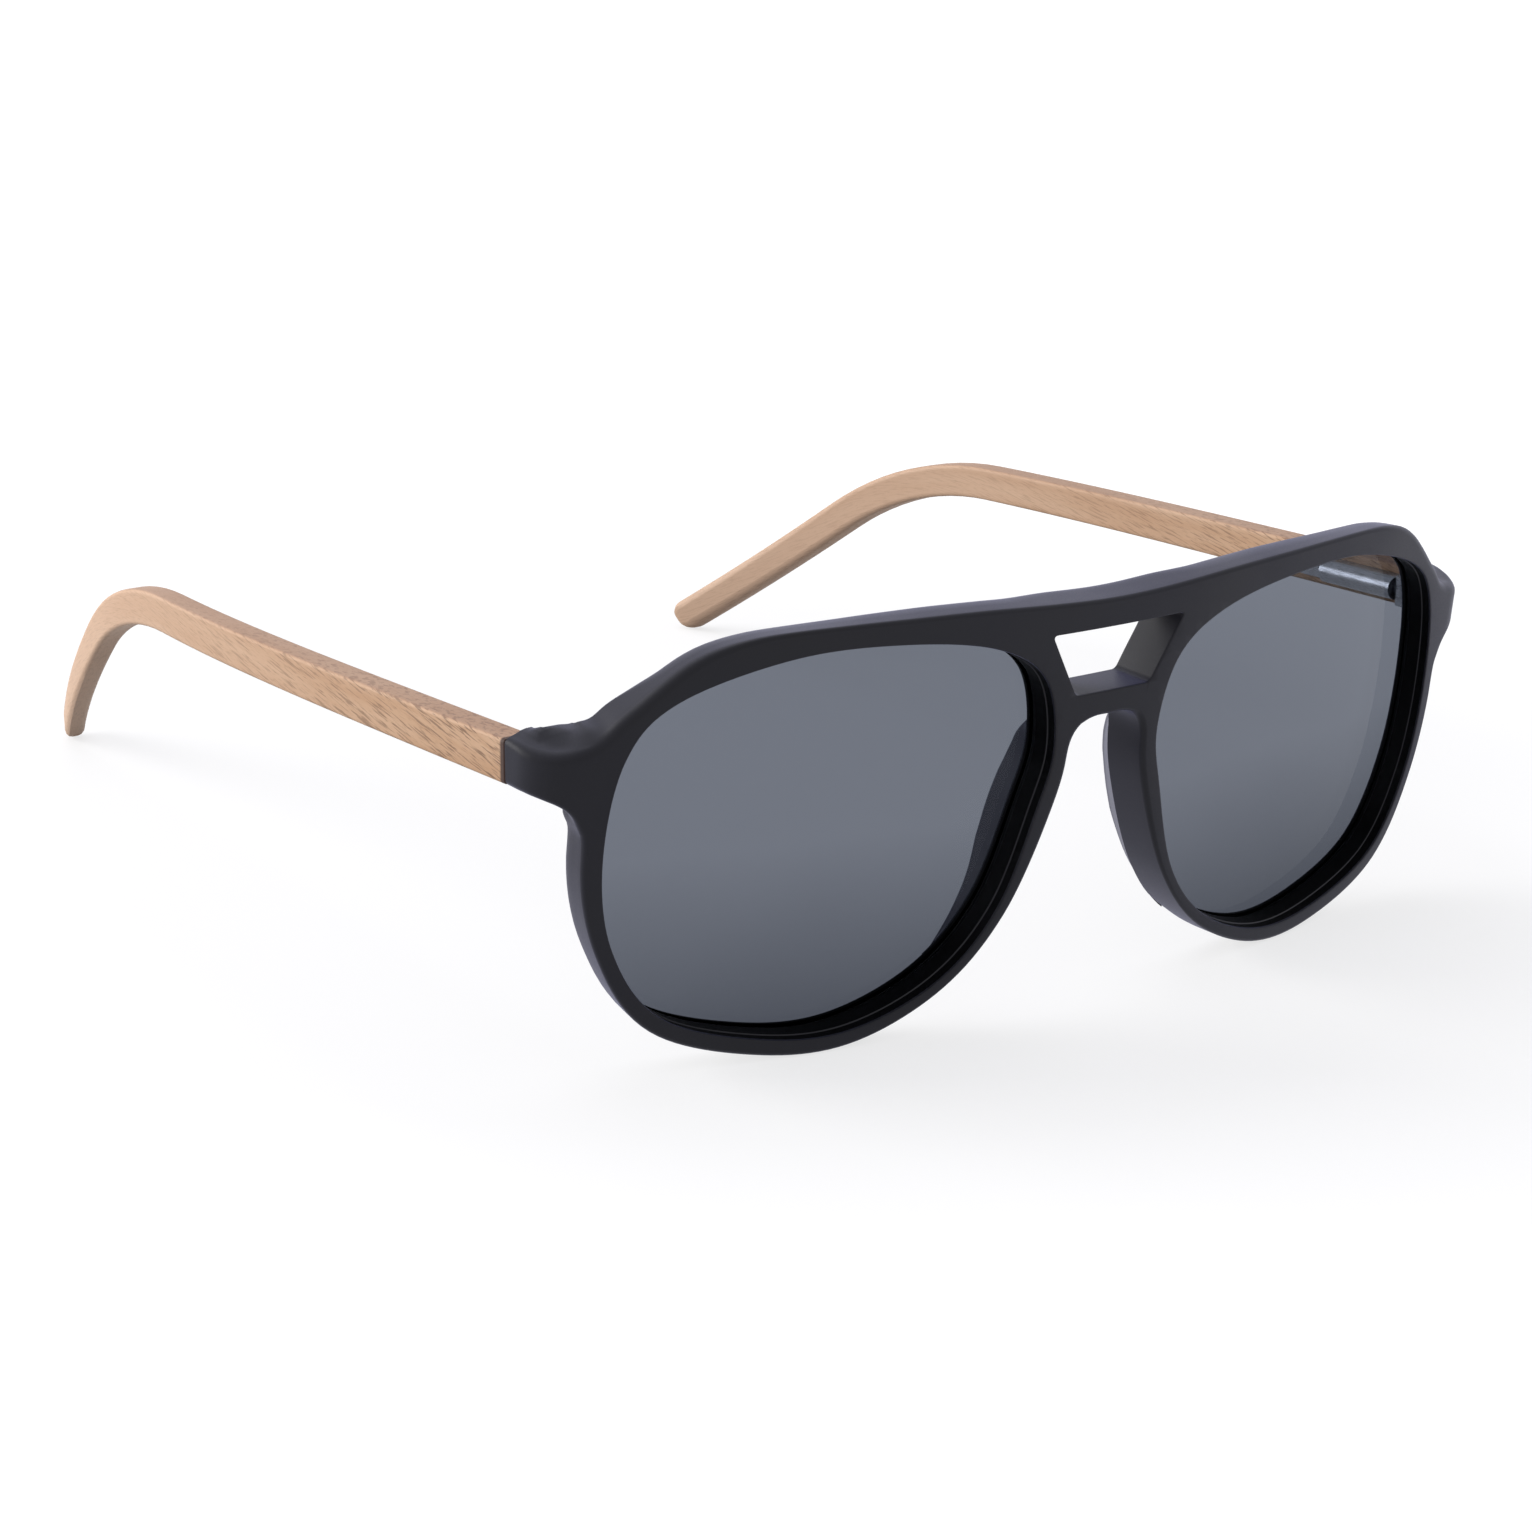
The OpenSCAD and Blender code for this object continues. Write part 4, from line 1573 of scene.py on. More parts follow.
    def wall(
        self,
        draft: MeshDraft,
        outline: Outline,
        profile: Callable[[Station], list[Flat]],
        into: float,
        painted_shade: Sequence[int] = (),
    ) -> tuple[Outline, list[int], Outline, list[int]]:
        """Build the wall along one outline, from the front face to the back face.

        Args:
            draft: The mesh that is being made.
            outline: The outline that the wall follows.
            profile: The wall's section at a station.
            into: 1 where the plastic lies outside the outline, and -1 where it lies inside.
            painted_shade: For a lens opening, whose wall goes straight back, the stretches whose faces take
                the near-black painted shade.

        Returns:
            The wall's edge on the front face with its points, and the same on the back face.
        """
        sections = [profile(p) for p in outline.stations]
        rings: list[tuple[Outline, list[int]]] = []
        for row in range(len(sections[0])):
            edge = outline.grown([into * section[row][0] for section in sections])
            if painted_shade:
                pairs = zip(edge.stations, sections)
                edge = Outline(tuple(self.plan.behind(p, section[row][1]) for p, section in pairs))
            places = [
                self.plan.place(p.s, p.h, section[row][1]) for p, section in zip(edge.stations, sections)
            ]
            rings.append((edge, draft.ring(places)))
        for row, (a, b) in enumerate(zip(rings, rings[1:])):
            # Listed rows take the second slot, the painted shade.
            draft.strip(a[1], b[1], row in painted_shade)
        return (*rings[0], *rings[-1])

    def face(
        self, draft: MeshDraft, edges: Sequence[Outline], rings: Sequence[list[int]], at_back: bool
    ) -> None:
        """Fill the front or back face between the walls.

        Args:
            draft: The mesh that is being made.
            edges: The walls' edges on this face, the outer one first.
            rings: The points of those edges.
            at_back: True for the back face.
        """
        z, grid, plan = self.plan.sizes, self.grid, self.plan
        sheet = Sheet(edges[0], edges[1:])
        columns = [*plan.corners]
        for a, b in zip((plan.from_s, *columns), (*columns, plan.joint_s + grid.past_joint)):
            pieces = max(round((b - a) / self.outlines.fine), 1)
            columns += [mixed(a, b, k / pieces) for k in range(1, pieces)]
        low, high = z.end_low - grid.end_under, z.end_high + grid.end_over
        rows = [mixed(low, high, k / grid.end_rows) for k in range(grid.end_rows + 1)]
        for side in Side:
            sheet.scatter([side.value * s for s in columns], rows, grid.end_room)
        step, reach = grid.bridge_step, grid.bridge_columns
        across = [step * k for k in range(-reach, reach + 1)]
        up = [z.lower_bridge_z - grid.bridge_under + step * k for k in range(grid.bridge_rows)]
        sheet.scatter(across, up, grid.bridge_room)
        inner = draft.ring(
            plan.place(s, h, plan.depth(s, h) if at_back else 0.0) for s, h in sheet.extra
        )
        numbers = [i for ring in rings for i in ring] + inner
        draft.faces.extend(tuple(numbers[i] for i in face) for face in sheet.triangles())

    def build(self) -> bpy.types.Object:
        """Build the whole front.

        Returns:
            The front's object.
        """
        draft = MeshDraft("moulded_front")
        opening = self.outlines.opening()
        walls = [self.wall(draft, self.outlines.outer(self.plan), self.outer_profile, -1.0)]
        for o in (opening, opening.mirrored()):
            walls.append(self.wall(draft, o, self.opening_profile, 1.0, self.painted_shade_rows))
        walls.append(self.wall(draft, self.outlines.window(), self.window_profile, 1.0))
        self.face(draft, [w[0] for w in walls], [w[1] for w in walls], False)
        self.face(draft, [w[2] for w in walls], [w[3] for w in walls], True)
        bm = draft.joined_mesh()
        for side in Side:
            self.trim(bm, side)
        bmesh.ops.recalc_face_normals(bm, faces=bm.faces)
        return draft.piece(bm)

    def trim(self, bm: bmesh.types.BMesh, side: Side) -> None:
        """Cut an end piece off flat at its joint with the temple, and close the cut.

        Args:
            bm: The front's mesh.
            side: Which end piece.
        """
        point, along = self.plan.joint_plane(side)
        weld = self.weld * MM
        faces = [f for f in bm.faces if side.value * f.calc_center_median().x > self.trim_from * MM]
        edges = {e for f in faces for e in f.edges}
        verts = {v for f in faces for v in f.verts}
        geom = [*faces, *edges, *verts]
        bmesh.ops.bisect_plane(bm, geom=geom, plane_co=point, plane_no=along, clear_outer=True)
        ours = [v for v in bm.verts if side.value * v.co.x > 0.0]
        beside = [v for v in ours if abs((v.co - point).dot(along)) < weld]
        bmesh.ops.remove_doubles(bm, verts=beside, dist=weld)
        cap = bmesh.ops.contextual_create(bm, geom=[e for e in bm.edges if e.is_boundary])
        bmesh.ops.triangulate(bm, faces=cap["faces"])

    def dress(self, front: bpy.types.Object) -> None:
        """Give the front its plastic, the near-black painted shade on its lens openings' walls, and its
        place in the object.

        Args:
            front: The front.
        """
        self.finish.dress(front)
        # The second slot is the near-black painted shade of the openings' walls.
        front.data.materials.append(self.painted_shade_finish.material())
        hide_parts("front_frame")
        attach(front, "front_assembly")


@dataclass
class SnapLens:
    """A tinted lens, curved with the front and held in its groove."""

    plan: FrontPlan
    outlines: FrontOutlines
    finish: Finish
    edge_finish: Finish
    edge_round: float = 0.14
    mesh_step: float = 2.6
    mesh_room: float = 0.9

    def build(self, side: Side) -> bpy.types.Object:
        """Build one lens.

        Args:
            side: Which lens.

        Returns:
            The lens's object.
        """
        z = self.plan.sizes
        opening = self.outlines.opening()
        opening = opening if side is Side.LEFT else opening.mirrored()
        front, back, r = z.lens_recess, z.lens_recess + z.lens_t, self.edge_round
        reach = z.groove_depth
        rows = ((reach - r, front), (reach, front + r), (reach, back - r), (reach - r, back))
        draft = MeshDraft(f"tinted_lens_{side.word}")
        rings, edges = [], []
        for out, depth in rows:
            edge = opening.grown([out] * len(opening.stations))
            edge = Outline(tuple(self.plan.behind(p, depth) for p in edge.stations))
            edges.append(edge)
            rings.append(draft.ring(self.plan.place(p.s, p.h, depth) for p in edge.stations))
        for a, b in zip(rings, rings[1:]):
            draft.strip(a, b, True)
        sheet = Sheet(edges[0], [])
        columns = int(z.lens_w / self.mesh_step) + 1
        across = [side.value * (z.bridge_w / 2 + self.mesh_step * k) for k in range(columns)]
        sheet.scatter(across, [self.mesh_step * k for k in range(columns)], self.mesh_room)
        triangles = sheet.triangles()
        for ring, depth in ((rings[0], front), (rings[-1], back)):
            numbers = ring + draft.ring(self.plan.place(s, h, depth) for s, h in sheet.extra)
            draft.faces.extend(tuple(numbers[i] for i in face) for face in triangles)
        return draft.piece(draft.joined_mesh())

    def dress(self, lens: bpy.types.Object, side: Side) -> None:
        """Give a lens its tint, its ground edge and its place in the object.

        Args:
            lens: The lens.
            side: Which lens.
        """
        self.finish.dress(lens)
        lens.data.materials.append(self.edge_finish.material())
        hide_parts(f"lens_{side.word}")
        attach(lens, "front_assembly")


@dataclass
class NosePad:
    """A nose pad bonded behind the rim, level with the rim's wall beside the nose."""

    plan: FrontPlan
    outlines: FrontOutlines
    finish: Finish
    form: tuple[Flat, ...] = (
        (0.0, 0.14), (0.13, 0.38), (0.34, 0.71), (0.45, 0.92), (0.56, 0.99), (0.64, 1.0), (0.74, 0.955),
        (0.83, 0.82), (0.9, 0.66), (1.0, 0.2),
    )
    end_taper: float = 0.09
    end_share: float = 0.2
    seat_in: float = 0.15
    lens_clear: float = 0.1
    nose_steps: int = 4
    edge_steps: int = 8
    lens_steps: int = 3
    sharp: float = 50.0

    def share(self, part: float) -> float:
        """Give a pad's share of its full depth, with softly closed ends.

        Args:
            part: Place up the pad, from 0 at its lower end to 1 at its upper one.

        Returns:
            The share.
        """
        k = 1
        while k < len(self.form) - 1 and self.form[k][0] < part:
            k += 1
        (v0, low), (v1, high) = self.form[k - 1 : k + 1]
        end = max(1.0 - min(part, 1.0 - part) / self.end_taper, 0.0)
        closed = math.sqrt(max(1.0 - end * end, self.end_share**2))
        return mixed(low, high, (part - v0) / (v1 - v0)) * closed

    def section(self, base: float, share: float) -> list[Flat]:
        """Draw a pad's section, from the nose side of its seat round its back edge to the lens side.

        Args:
            base: Width of the seat on the rim's back.
            share: Share of the pad's full depth.

        Returns:
            Pairs of a distance out from the opening and a distance behind the rim.
        """
        z = self.plan.sizes
        r = z.pad_t / 2 * min(1.0, 2.0 * share)
        middle = max(z.pad_depth * share - r, 2.0 * z.seat_gap)
        nose, lens = z.pad_edge + r, z.pad_edge - r
        made: list[Flat] = []
        for k in range(self.nose_steps):
            part = k / self.nose_steps
            made.append((mixed(base, nose, part), mixed(z.seat_gap, middle, part)))
        for a in arc_angles(180.0, self.edge_steps):
            made.append((z.pad_edge + r * math.cos(a), middle + r * math.sin(a)))
        for k in range(1, self.lens_steps + 1):
            part = k / self.lens_steps
            made.append((mixed(lens, self.lens_clear, part), mixed(middle, z.seat_gap, part)))
        return [*made, (base / 2, z.seat_gap)]

    def build(self, side: Side) -> bpy.types.Object:
        """Build one pad along the rim.

        Args:
            side: Which pad.

        Returns:
            The pad's object.
        """
        z = self.plan.sizes
        opening = self.outlines.opening()
        draft = MeshDraft(f"nose_pad_{side.word}_moulded")
        rings = []
        for p, out in zip(opening.stations, opening.normals()):
            if p.s > z.pad_to or not z.pad_low < p.h < z.pad_high:
                continue
            base = z.rim_w * p.width - out[0] * z.rim_depth * math.tan(z.lens_a) - self.seat_in
            section = self.section(base, self.share((p.h - z.pad_low) / (z.pad_high - z.pad_low)))
            places = [
                self.plan.on_back(side.value * (p.s + out[0] * q), p.h + out[1] * q, back)
                for q, back in section
            ]
            rings.append(draft.ring(places))
        draft.loft(rings)
        return draft.piece(draft.mesh(), self.sharp)

    def dress(self, pad: bpy.types.Object, side: Side) -> None:
        """Give a pad its plastic and its place in the object.

        Args:
            pad: The pad.
            side: Which pad.
        """
        self.finish.dress(pad)
        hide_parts(f"nose_pad_{side.word}")
        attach(pad, "front_assembly")


class Rib(NamedTuple):
    """A section of a temple: place along it, height, slope, half height, corner, part of the thickness."""

    v: float
    w: float
    slope: float
    half: float
    corner: float
    thick: float = 1.0


@dataclass
class WoodenTemple:
    """A wooden temple with a bent, inward-curving tip and a recess for its spring housing."""

    plan: FrontPlan
    finish: Finish
    straight_l: float = 78.5
    bend_h: float = 4.4
    tip_h: float = 4.4
    tip_t: float = 3.0
    bend_r: float = 45.0
    bend_a: float = 36.0
    lean_in: float = 2.0
    curve_in: float = 17.0
    housing_l: float = 12.0
    tongue_l: float = 5.4
    housing_sunk: float = 0.7
    housing_r: float = 1.45
    edge_round: float = 0.42
    edge_steps: int = 3
    edge_share: float = 0.45
    floor_share: float = 0.9
    floor_rows: tuple[int, int] = (10, 11)
    tip_round: float = 1.15
    tip_back: float = 0.55
    tip_clear: float = 0.05
    tip_turn: float = 85.0
    tip_power: float = 2.6
    tip_corner: float = 0.2
    tip_corner_share: float = 0.9
    tip_thick: float = 0.45
    tip_thick_power: float = 0.6
    end_chamfer: float = 0.14
    end_thick: float = 0.93
    step: float = 3.0
    recess_ribs: tuple[float, ...] = (4.0, 7.0, 10.0, 13.0, 16.0)
    bend_steps: int = 12
    bend_share: float = 0.4
    tip_steps: int = 10
    cap_steps: int = 8
    grain_apart: float = 20.0
    sharp: float = 35.0

    def __post_init__(self) -> None:
        """Find the tip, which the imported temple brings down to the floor."""
        z = self.plan.sizes
        a, drop = math.radians(self.bend_a), math.radians(z.temple_drop)
        self.bend_v = self.straight_l + self.bend_r * math.sin(a)
        self.bend_w = self.bend_r * (1 - math.cos(a))
        bend_fall = self.bend_v * math.sin(drop) + self.bend_w * math.cos(drop)
        self.tip_l = (self.plan.joint_z - self.tip_h / 2 - bend_fall) / math.sin(a + drop)
        self.tip_v = self.bend_v + self.tip_l * math.cos(a)
        self.length = self.tip_v + self.tip_h

    def face_u(self, v: float, side: int) -> float:
        """Give how far out a temple's face is.

        Args:
            v: Place along the temple.
            side: 1 for the outer face and -1 for the inner one.

        Returns:
            The distance out from the hinge axis.
        """
        z = self.plan.sizes
        q = v / self.length
        middle = z.axis_in + z.temple_t / 2 - self.lean_in * q - self.curve_in * q**4
        return middle + side * mixed(z.temple_t, self.tip_t, q) / 2

    def ribs(self) -> list[Rib]:
        """Lay out the temple's sections from the hinge to the tip.

        Returns:
            The sections.
        """
        return [*self.straight_ribs(), *self.bend_ribs(), *self.tip_ribs()]

    def straight_ribs(self) -> list[Rib]:
        """Lay out the sections of the straight stretch.

        Returns:
            The sections.
        """
        z = self.plan.sizes
        recess_from, recess_to = self.recess()
        start = z.joint_gap
        places = [start + self.end_chamfer, recess_from, *self.recess_ribs, recess_to]
        count = round((self.straight_l - recess_to) / self.step)
        places += [mixed(recess_to, self.straight_l, k / count) for k in range(1, count + 1)]
        end_half = z.temple_h / 2 - self.end_chamfer
        made = [Rib(start, 0.0, 0.0, end_half, self.edge_round, self.end_thick)]
        for v in places:
            half = mixed(z.temple_h, self.bend_h, (v - start) / (self.straight_l - start)) / 2
            made.append(Rib(v, 0.0, 0.0, half, self.edge_round))
        return made

    def bend_ribs(self) -> list[Rib]:
        """Lay out the sections of the bend over the ear.

        Returns:
            The sections.
        """
        made = []
        for k in range(1, self.bend_steps + 1):
            t = math.radians(self.bend_a) * k / self.bend_steps
            v, w = self.straight_l + self.bend_r * math.sin(t), -self.bend_r * (1 - math.cos(t))
            corner = mixed(self.edge_round, self.tip_round, self.bend_share * k / self.bend_steps)
            made.append(Rib(v, w, t, self.bend_h / 2, corner))
        return made

    def tip_rib(self, run: float, half: float, corner: float, thick: float = 1.0) -> Rib:
        """Place a section on the tip.

        Args:
            run: Distance behind the bend.
            half: Half the section's height.
            corner: Rounding of its corners.
            thick: Share of the thickness.

        Returns:
            The section.
        """
        a = math.radians(self.bend_a)
        v, w = self.bend_v + run * math.cos(a), -self.bend_w - run * math.sin(a)
        return Rib(v, w, a, half, corner, thick)

    def tip_ribs(self) -> list[Rib]:
        """Lay out the sections of the tip and of its round end.

        Returns:
            The sections.
        """
        made = []
        half, length = self.tip_h / 2, self.tip_l - self.tip_back
        for k in range(1, self.tip_steps + 1):
            grown = mixed(self.bend_share, 1.0, k / self.tip_steps)
            corner = mixed(self.edge_round, self.tip_round, grown)
            made.append(self.tip_rib(length * k / self.tip_steps, half, corner))
        for t in arc_angles(self.tip_turn, self.cap_steps)[1:]:
            left = (1.0 - math.sin(t) ** self.tip_power) ** (1 / self.tip_power)
            corner = min(self.tip_round * max(left, self.tip_corner), self.tip_corner_share * half * left)
            thick = mixed(self.tip_thick, 1.0, math.cos(t) ** self.tip_thick_power)
            run = length + (half - self.tip_clear) * math.sin(t)
            made.append(self.tip_rib(run, half * left, corner, thick))
        return made

    def recess(self) -> Flat:
        """Give the start and end of the recess for the spring housing."""
        start, gap = self.plan.sizes.leaf_back, self.plan.sizes.seat_gap
        return start - gap, start + self.housing_l + self.tongue_l + gap

    def section(self, rib: Rib, thick: float) -> list[Flat]:
        """Draw a temple's section, from the middle of the outer face over the top.

        Args:
            rib: The section's place.
            thick: The thickness there.

        Returns:
            Pairs of a height from the middle and a distance from the inner face.
        """
        half, c = rib.half, min(rib.corner, self.edge_share * thick)
        floor = min(self.housing_r + self.plan.sizes.seat_gap, self.floor_share * (half - c))
        turns = arc_angles(90.0, self.edge_steps)
        made = [(0.0, thick)]
        made += [(half - c + c * math.sin(t), thick - c + c * math.cos(t)) for t in turns]
        made.append((half, thick / 2))
        made += [(half - c + c * math.cos(t), c - c * math.sin(t)) for t in turns]
        made += [(floor, 0.0), (-floor, 0.0)]
        made += [(c - half - c * math.sin(t), c - c * math.cos(t)) for t in turns]
        made.append((-half, thick / 2))
        made += [(c - half - c * math.cos(t), thick - c + c * math.sin(t)) for t in turns]
        return made

    def build(self, side: Side) -> bpy.types.Object:
        """Build one temple.

        Args:
            side: Which temple.

        Returns:
            The temple's object.
        """
        draft = MeshDraft(f"wooden_temple_{side.word}")
        shift = self.grain_apart if side is Side.RIGHT else 0.0
        grain: list[Vector] = []
        rings = []
        travelled, last = 0.0, None
        for rib in self.ribs():
            travelled += math.dist((rib.v, rib.w), last) if last else 0.0
            last = (rib.v, rib.w)
            full = self.face_u(rib.v, 1) - self.face_u(rib.v, -1)
            thick = full * rib.thick
            ring = []
            for e, f in self.section(rib, thick):
                v, w = rib.v + e * math.sin(rib.slope), rib.w + e * math.cos(rib.slope)
                u = self.face_u(v, -1) + (full - thick) / 2 + f
                ring.append(self.plan.at_hinge(side, u, v, w))
                level = e * self.plan.sizes.temple_h / 2 / rib.half
                grain.append(Vector((travelled, f + shift, level)))
            rings.append(draft.ring(ring))
        draft.loft(rings)
        bm = draft.mesh()
        layer = bm.verts.layers.float_vector.new("grain")
        for vert, place in zip(bm.verts, grain):
            vert[layer] = place
        self.cut_recess(bm, rings, side)
        return draft.piece(bm, self.sharp)

    def cut_recess(self, bm: bmesh.types.BMesh, rings: Sequence[list[int]], side: Side) -> None:
        """Sink the recess for the spring housing into the inner face.

        Args:
            bm: The temple's mesh.
            rings: The points of its sections.
            side: Which temple.
        """
        bm.verts.ensure_lookup_table()
        ends = [i for i, rib in enumerate(self.ribs()) if rib.v in self.recess()]
        held = {bm.verts[rings[i][row]] for i in range(ends[0], ends[1] + 1) for row in self.floor_rows}
        faces = [f for f in bm.faces if all(v in held for v in f.verts)]
        sunk = bmesh.ops.extrude_face_region(bm, geom=faces)
        bmesh.ops.delete(bm, geom=faces, context="FACES_ONLY")
        deep = self.plan.sizes.axis_in + self.housing_sunk + self.plan.sizes.seat_gap
        target = side.value * (self.plan.axis_x + deep) * MM
        for item in sunk["geom"]:
            if isinstance(item, bmesh.types.BMVert):
                item.co.x = target
        bmesh.ops.recalc_face_normals(bm, faces=bm.faces)

    def dress(self, temple: bpy.types.Object, side: Side) -> None:
        """Give a temple its wood and its place in the object.

        Args:
            temple: The temple.
            side: Which temple.
        """
        self.finish.dress(temple)
        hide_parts(f"temple_{side.word}")
        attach(temple, f"{side.word}_temple")


@dataclass
class CoilSpring:
    """The wire spring on a slider's rod, built at one length; the real one shortens as its temple is pulled
    out.
    """

    plan: FrontPlan
    finish: Finish
    from_v: float = 2.78
    to_v: float = 10.04
    coil_r: float = 0.875
    wire_d: float = 0.32
    turns: int = 9
    turn_steps: int = 24
    wire_sides: int = 8

    def wire(self, side: Side, step: int) -> list[Vector]:
        """Go round the wire at one step of the coil.

        Args:
            side: Which hinge.
            step: Number of the step from the housing's front wall.

        Returns:
            The points round the wire, in metres.
        """
        a = math.tau * step / self.turn_steps
        v = mixed(self.from_v, self.to_v, step / (self.turns * self.turn_steps))
        places = []
        for k in range(self.wire_sides):
            b = math.tau * k / self.wire_sides
            r = self.coil_r + self.wire_d / 2 * math.cos(b)
            along = v + self.wire_d / 2 * math.sin(b)
            places.append(self.plan.at_hinge(side, r * math.cos(a), along, r * math.sin(a)))
        return places

    def build(self, side: Side) -> bpy.types.Object:
        """Build one spring.

        Args:
            side: Which hinge.

        Returns:
            The spring's object.
        """
        draft = MeshDraft(f"coil_spring_{side.word}")
        steps = self.turns * self.turn_steps
        draft.loft([draft.ring(self.wire(side, step)) for step in range(steps + 1)])
        return draft.piece(draft.mesh())

    def dress(self, spring: bpy.types.Object, side: Side) -> None:
        """Give a spring its steel, hide the imported spring and bake the spring's place into its mesh.

        Args:
            spring: The spring.
            side: Which hinge.
        """
        self.finish.dress(spring)
        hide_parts(f"hinge_spring_{side.word}")
        ends = (self.plan.at_hinge(side, 0.0, v, 0.0) for v in (self.from_v, self.to_v))
        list(ends)
        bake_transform(spring)


@dataclass
class HingeMetals:
    """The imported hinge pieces, which keep their own shapes and get their metals here."""

    tones: dict[str, MetalTone] = field(
        default_factory=lambda: {
            "front_leaf": MetalTone.STEEL,
            "hinge_slider": MetalTone.STEEL,
            "spring_housing": MetalTone.STEEL,
            "hinge_screw": MetalTone.SCREW,
            "housing_screws": MetalTone.SCREW,
            "slider_stop": MetalTone.BRASS,
        }
    )

    def dress(self, nodes: dict[str, bpy.types.Object]) -> list[str]:
        """Give every hinge piece its metal.

        Args:
            nodes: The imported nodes.

        Returns:
            The names of the dressed nodes.
        """
        dressed = []
        for base, tone in self.tones.items():
            names = [f"{base}_{side.word}" for side in Side]
            HingeMetal(tone).dress(*(nodes[name] for name in names))
            dressed += names
        return dressed


@dataclass(frozen=True)
class Softbox:
    """A soft square lamp that faces the object, with its places and its side in metres."""

    name: str
    place: Triple
    side: float
    watts: float
    colour: Triple
    aim: Triple = (0.0, 0.0, 0.02)

    def hang(self) -> None:
        """Hang the lamp."""
        data = bpy.data.lights.new(self.name, "AREA")
        data.size, data.energy, data.color = self.side, self.watts, self.colour
        made = bpy.data.objects.new(self.name, data)
        made.location = self.place
        away = Vector(self.place) - Vector(self.aim)
        made.rotation_euler = away.to_track_quat("Z", "Y").to_euler()
        bpy.context.scene.collection.objects.link(made)


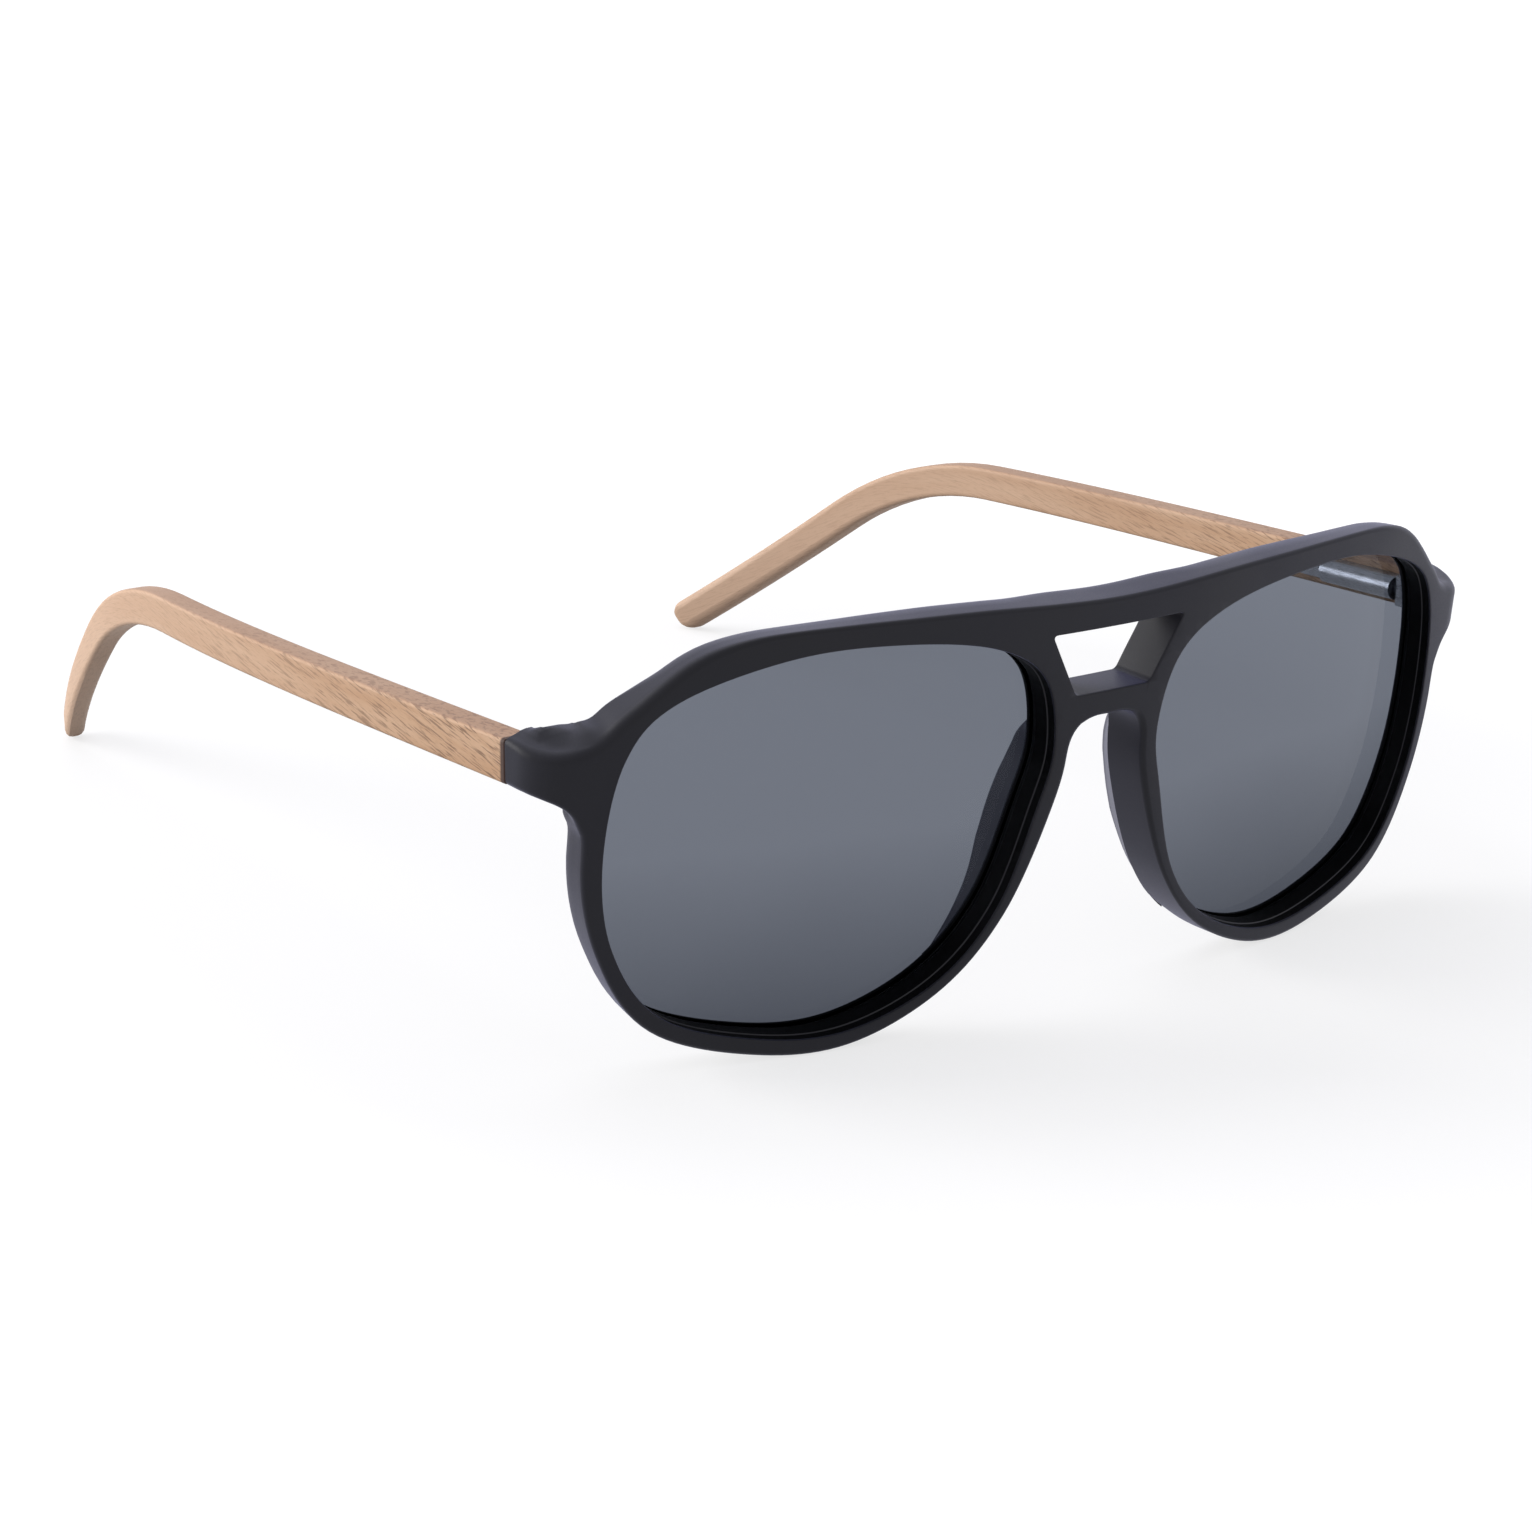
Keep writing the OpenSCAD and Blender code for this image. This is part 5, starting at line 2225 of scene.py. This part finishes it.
@dataclass
class Studio:
    """The pale floor, the soft light and the camera.

    Places are in metres and angles in degrees. The camera's lens and sensor are in millimetres.
    """

    azimuth: float = -38.234
    elevation: float = 18.323
    roll: float = 2.515
    aim: Triple = (-0.017106, -0.033309, 0.020588)
    distance: float = 0.504
    lens: float = 100.577
    sensor: float = 36.0
    clip: Span = (0.01, 20.0)
    floor_half: float = 3.0
    floor_squares: int = 8
    floor_tones: tuple[Colour, Colour] = ((0.30, 0.30, 0.305, 1.0), (0.32, 0.32, 0.322, 1.0))
    floor_scale: float = 3.0
    glow_span: Span = (0.1, 0.3)
    glow: Span = (0.72, 1.0)
    room_colour: Colour = (0.93, 0.93, 1.0, 1.0)
    room_light: float = 0.5
    white: Colour = (1.0, 1.0, 1.0, 1.0)
    lamps: tuple[Softbox, ...] = (
        Softbox("left_softbox", (-0.72, 0.62, 0.36), 0.6, 9.0, (1.0, 0.985, 0.97)),
        Softbox("top_softbox", (0.0, 0.3, 0.9), 0.7, 2.0, (0.93, 0.93, 1.0)),
    )

    def camera(self) -> bpy.types.Object:
        """Set up the camera at the photograph's angle.

        Returns:
            The camera.
        """
        a, e, r = (math.radians(v) for v in (self.azimuth, self.elevation, self.roll))
        back = Vector((math.sin(a) * math.cos(e), -math.cos(a) * math.cos(e), math.sin(e)))
        right = Vector((math.cos(a), math.sin(a), 0.0))
        up = back.cross(right)
        turned_right = right * math.cos(r) + up * math.sin(r)
        turned_up = up * math.cos(r) - right * math.sin(r)
        data = bpy.data.cameras.new("camera")
        data.lens, data.sensor_width = self.lens, self.sensor
        data.clip_start, data.clip_end = self.clip
        made = bpy.data.objects.new("camera", data)
        made.matrix_world = Matrix((turned_right, turned_up, back)).transposed().to_4x4()
        made.matrix_world.translation = Vector(self.aim) + back * self.distance
        bpy.context.scene.collection.objects.link(made)
        bpy.context.scene.camera = made
        return made

    def seen_directly(self, board: Board) -> bpy.types.NodeSocket:
        """Find the rays that show the background: straight, mirrored or through a lens.

        Args:
            board: The nodes to add to.

        Returns:
            1 for such a ray and 0 for others.
        """
        path = board.add("ShaderNodeLightPath").outputs
        mirrored = board.sum("MAXIMUM", path["Is Glossy Ray"], path["Is Transmission Ray"])
        return board.sum("MAXIMUM", path["Is Camera Ray"], mirrored)

    def floor(self) -> bpy.types.Object:
        """Lay the pale floor.

        Returns:
            The floor's object.
        """
        draft = MeshDraft("floor")
        count, half = self.floor_squares, self.floor_half
        for row in range(count + 1):
            y = mixed(-half, half, row / count)
            draft.ring(Vector((mixed(-half, half, k / count), y, 0.0)) for k in range(count + 1))
        for row in range(count):
            for k in range(count):
                a = row * (count + 1) + k
                draft.faces.append((a, a + 1, a + count + 2, a + count + 1))
        made = draft.piece(draft.mesh())
        board = Board.of_material("pale_floor")
        place = board.place()
        tone = board.blend(board.noise(place, self.floor_scale), *self.floor_tones)
        matte = board.add("ShaderNodeBsdfDiffuse", inputs={"Color": tone}).outputs[0]
        away = board.add("ShaderNodeVectorMath", {"operation": "LENGTH"}, {0: place}).outputs["Value"]
        seen = board.spread(away, self.glow_span, self.glow)
        strength = board.sum("MULTIPLY", self.seen_directly(board), seen)
        lit = {"Color": self.white, "Strength": strength}
        glow = board.add("ShaderNodeEmission", inputs=lit).outputs[0]
        board.close(board.add("ShaderNodeAddShader", inputs={0: matte, 1: glow}).outputs[0])
        made.data.materials.append(board.owner)
        return made

    def room(self) -> None:
        """Surround the object with soft light, and with white where the room itself is seen."""
        world = bpy.data.worlds.new("soft_room")
        bpy.context.scene.world = world
        board = Board(world)
        lit = {"Color": self.room_colour, "Strength": self.room_light}
        soft = board.add("ShaderNodeBackground", inputs=lit).outputs[0]
        white = board.add("ShaderNodeBackground", inputs={"Color": self.white}).outputs[0]
        shown = {0: self.seen_directly(board), 1: soft, 2: white}
        board.close(board.add("ShaderNodeMixShader", inputs=shown).outputs[0])

    def build(self) -> None:
        """Set up the whole studio."""
        self.camera()
        self.floor()
        self.room()
        for lamp in self.lamps:
            lamp.hang()
        view = bpy.context.scene.view_settings
        view.view_transform = "Standard"


def main() -> None:
    """Build the studio and every piece in order, and report each one."""
    logging.basicConfig(level=logging.INFO, format="%(name)s: %(message)s")
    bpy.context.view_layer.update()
    sizes = FrontSizes()
    plan = FrontPlan(sizes, EndTop())
    outlines = FrontOutlines(sizes)
    Studio().build()

    plastic = MouldedPlastic("frame_plastic", shade(10, 10, 17), shade(15, 15, 23), shade(44, 44, 55))
    # Near-black plastic of painted shade for the inner walls of the lens openings.
    painted_shade = MouldedPlastic(
        "painted_shade_wall", shade(3, 3, 4), shade(5, 5, 6), shade(9, 9, 11), rough=0.5, shine=0.04, sheen=0.0
    )
    front = MouldedFront(plan, outlines, plastic, painted_shade)
    piece = front.build()
    front.dress(piece)
    LOG.info("%s: %d faces", piece.name, len(piece.data.polygons))

    lenses = SnapLens(plan, outlines, TintedLens(), GroundEdge())
    soft = MouldedPlastic("pad_plastic", shade(84, 84, 91), shade(92, 92, 100), shade(106, 106, 114))
    pads = NosePad(plan, outlines, soft)
    temples = WoodenTemple(plan, LightWood())
    springs = CoilSpring(plan, HingeMetal(MetalTone.SPRING))
    for side in Side:
        lens = lenses.build(side)
        lenses.dress(lens, side)
        pad = pads.build(side)
        pads.dress(pad, side)
        temple = temples.build(side)
        temples.dress(temple, side)
        spring = springs.build(side)
        springs.dress(spring, side)
        for piece in (lens, pad, temple, spring):
            LOG.info("%s: %d faces", piece.name, len(piece.data.polygons))

    for name in HingeMetals().dress(frame["nodes"]):
        LOG.info("%s: packed piece dressed", name)


if __name__ == "__main__":
    main()
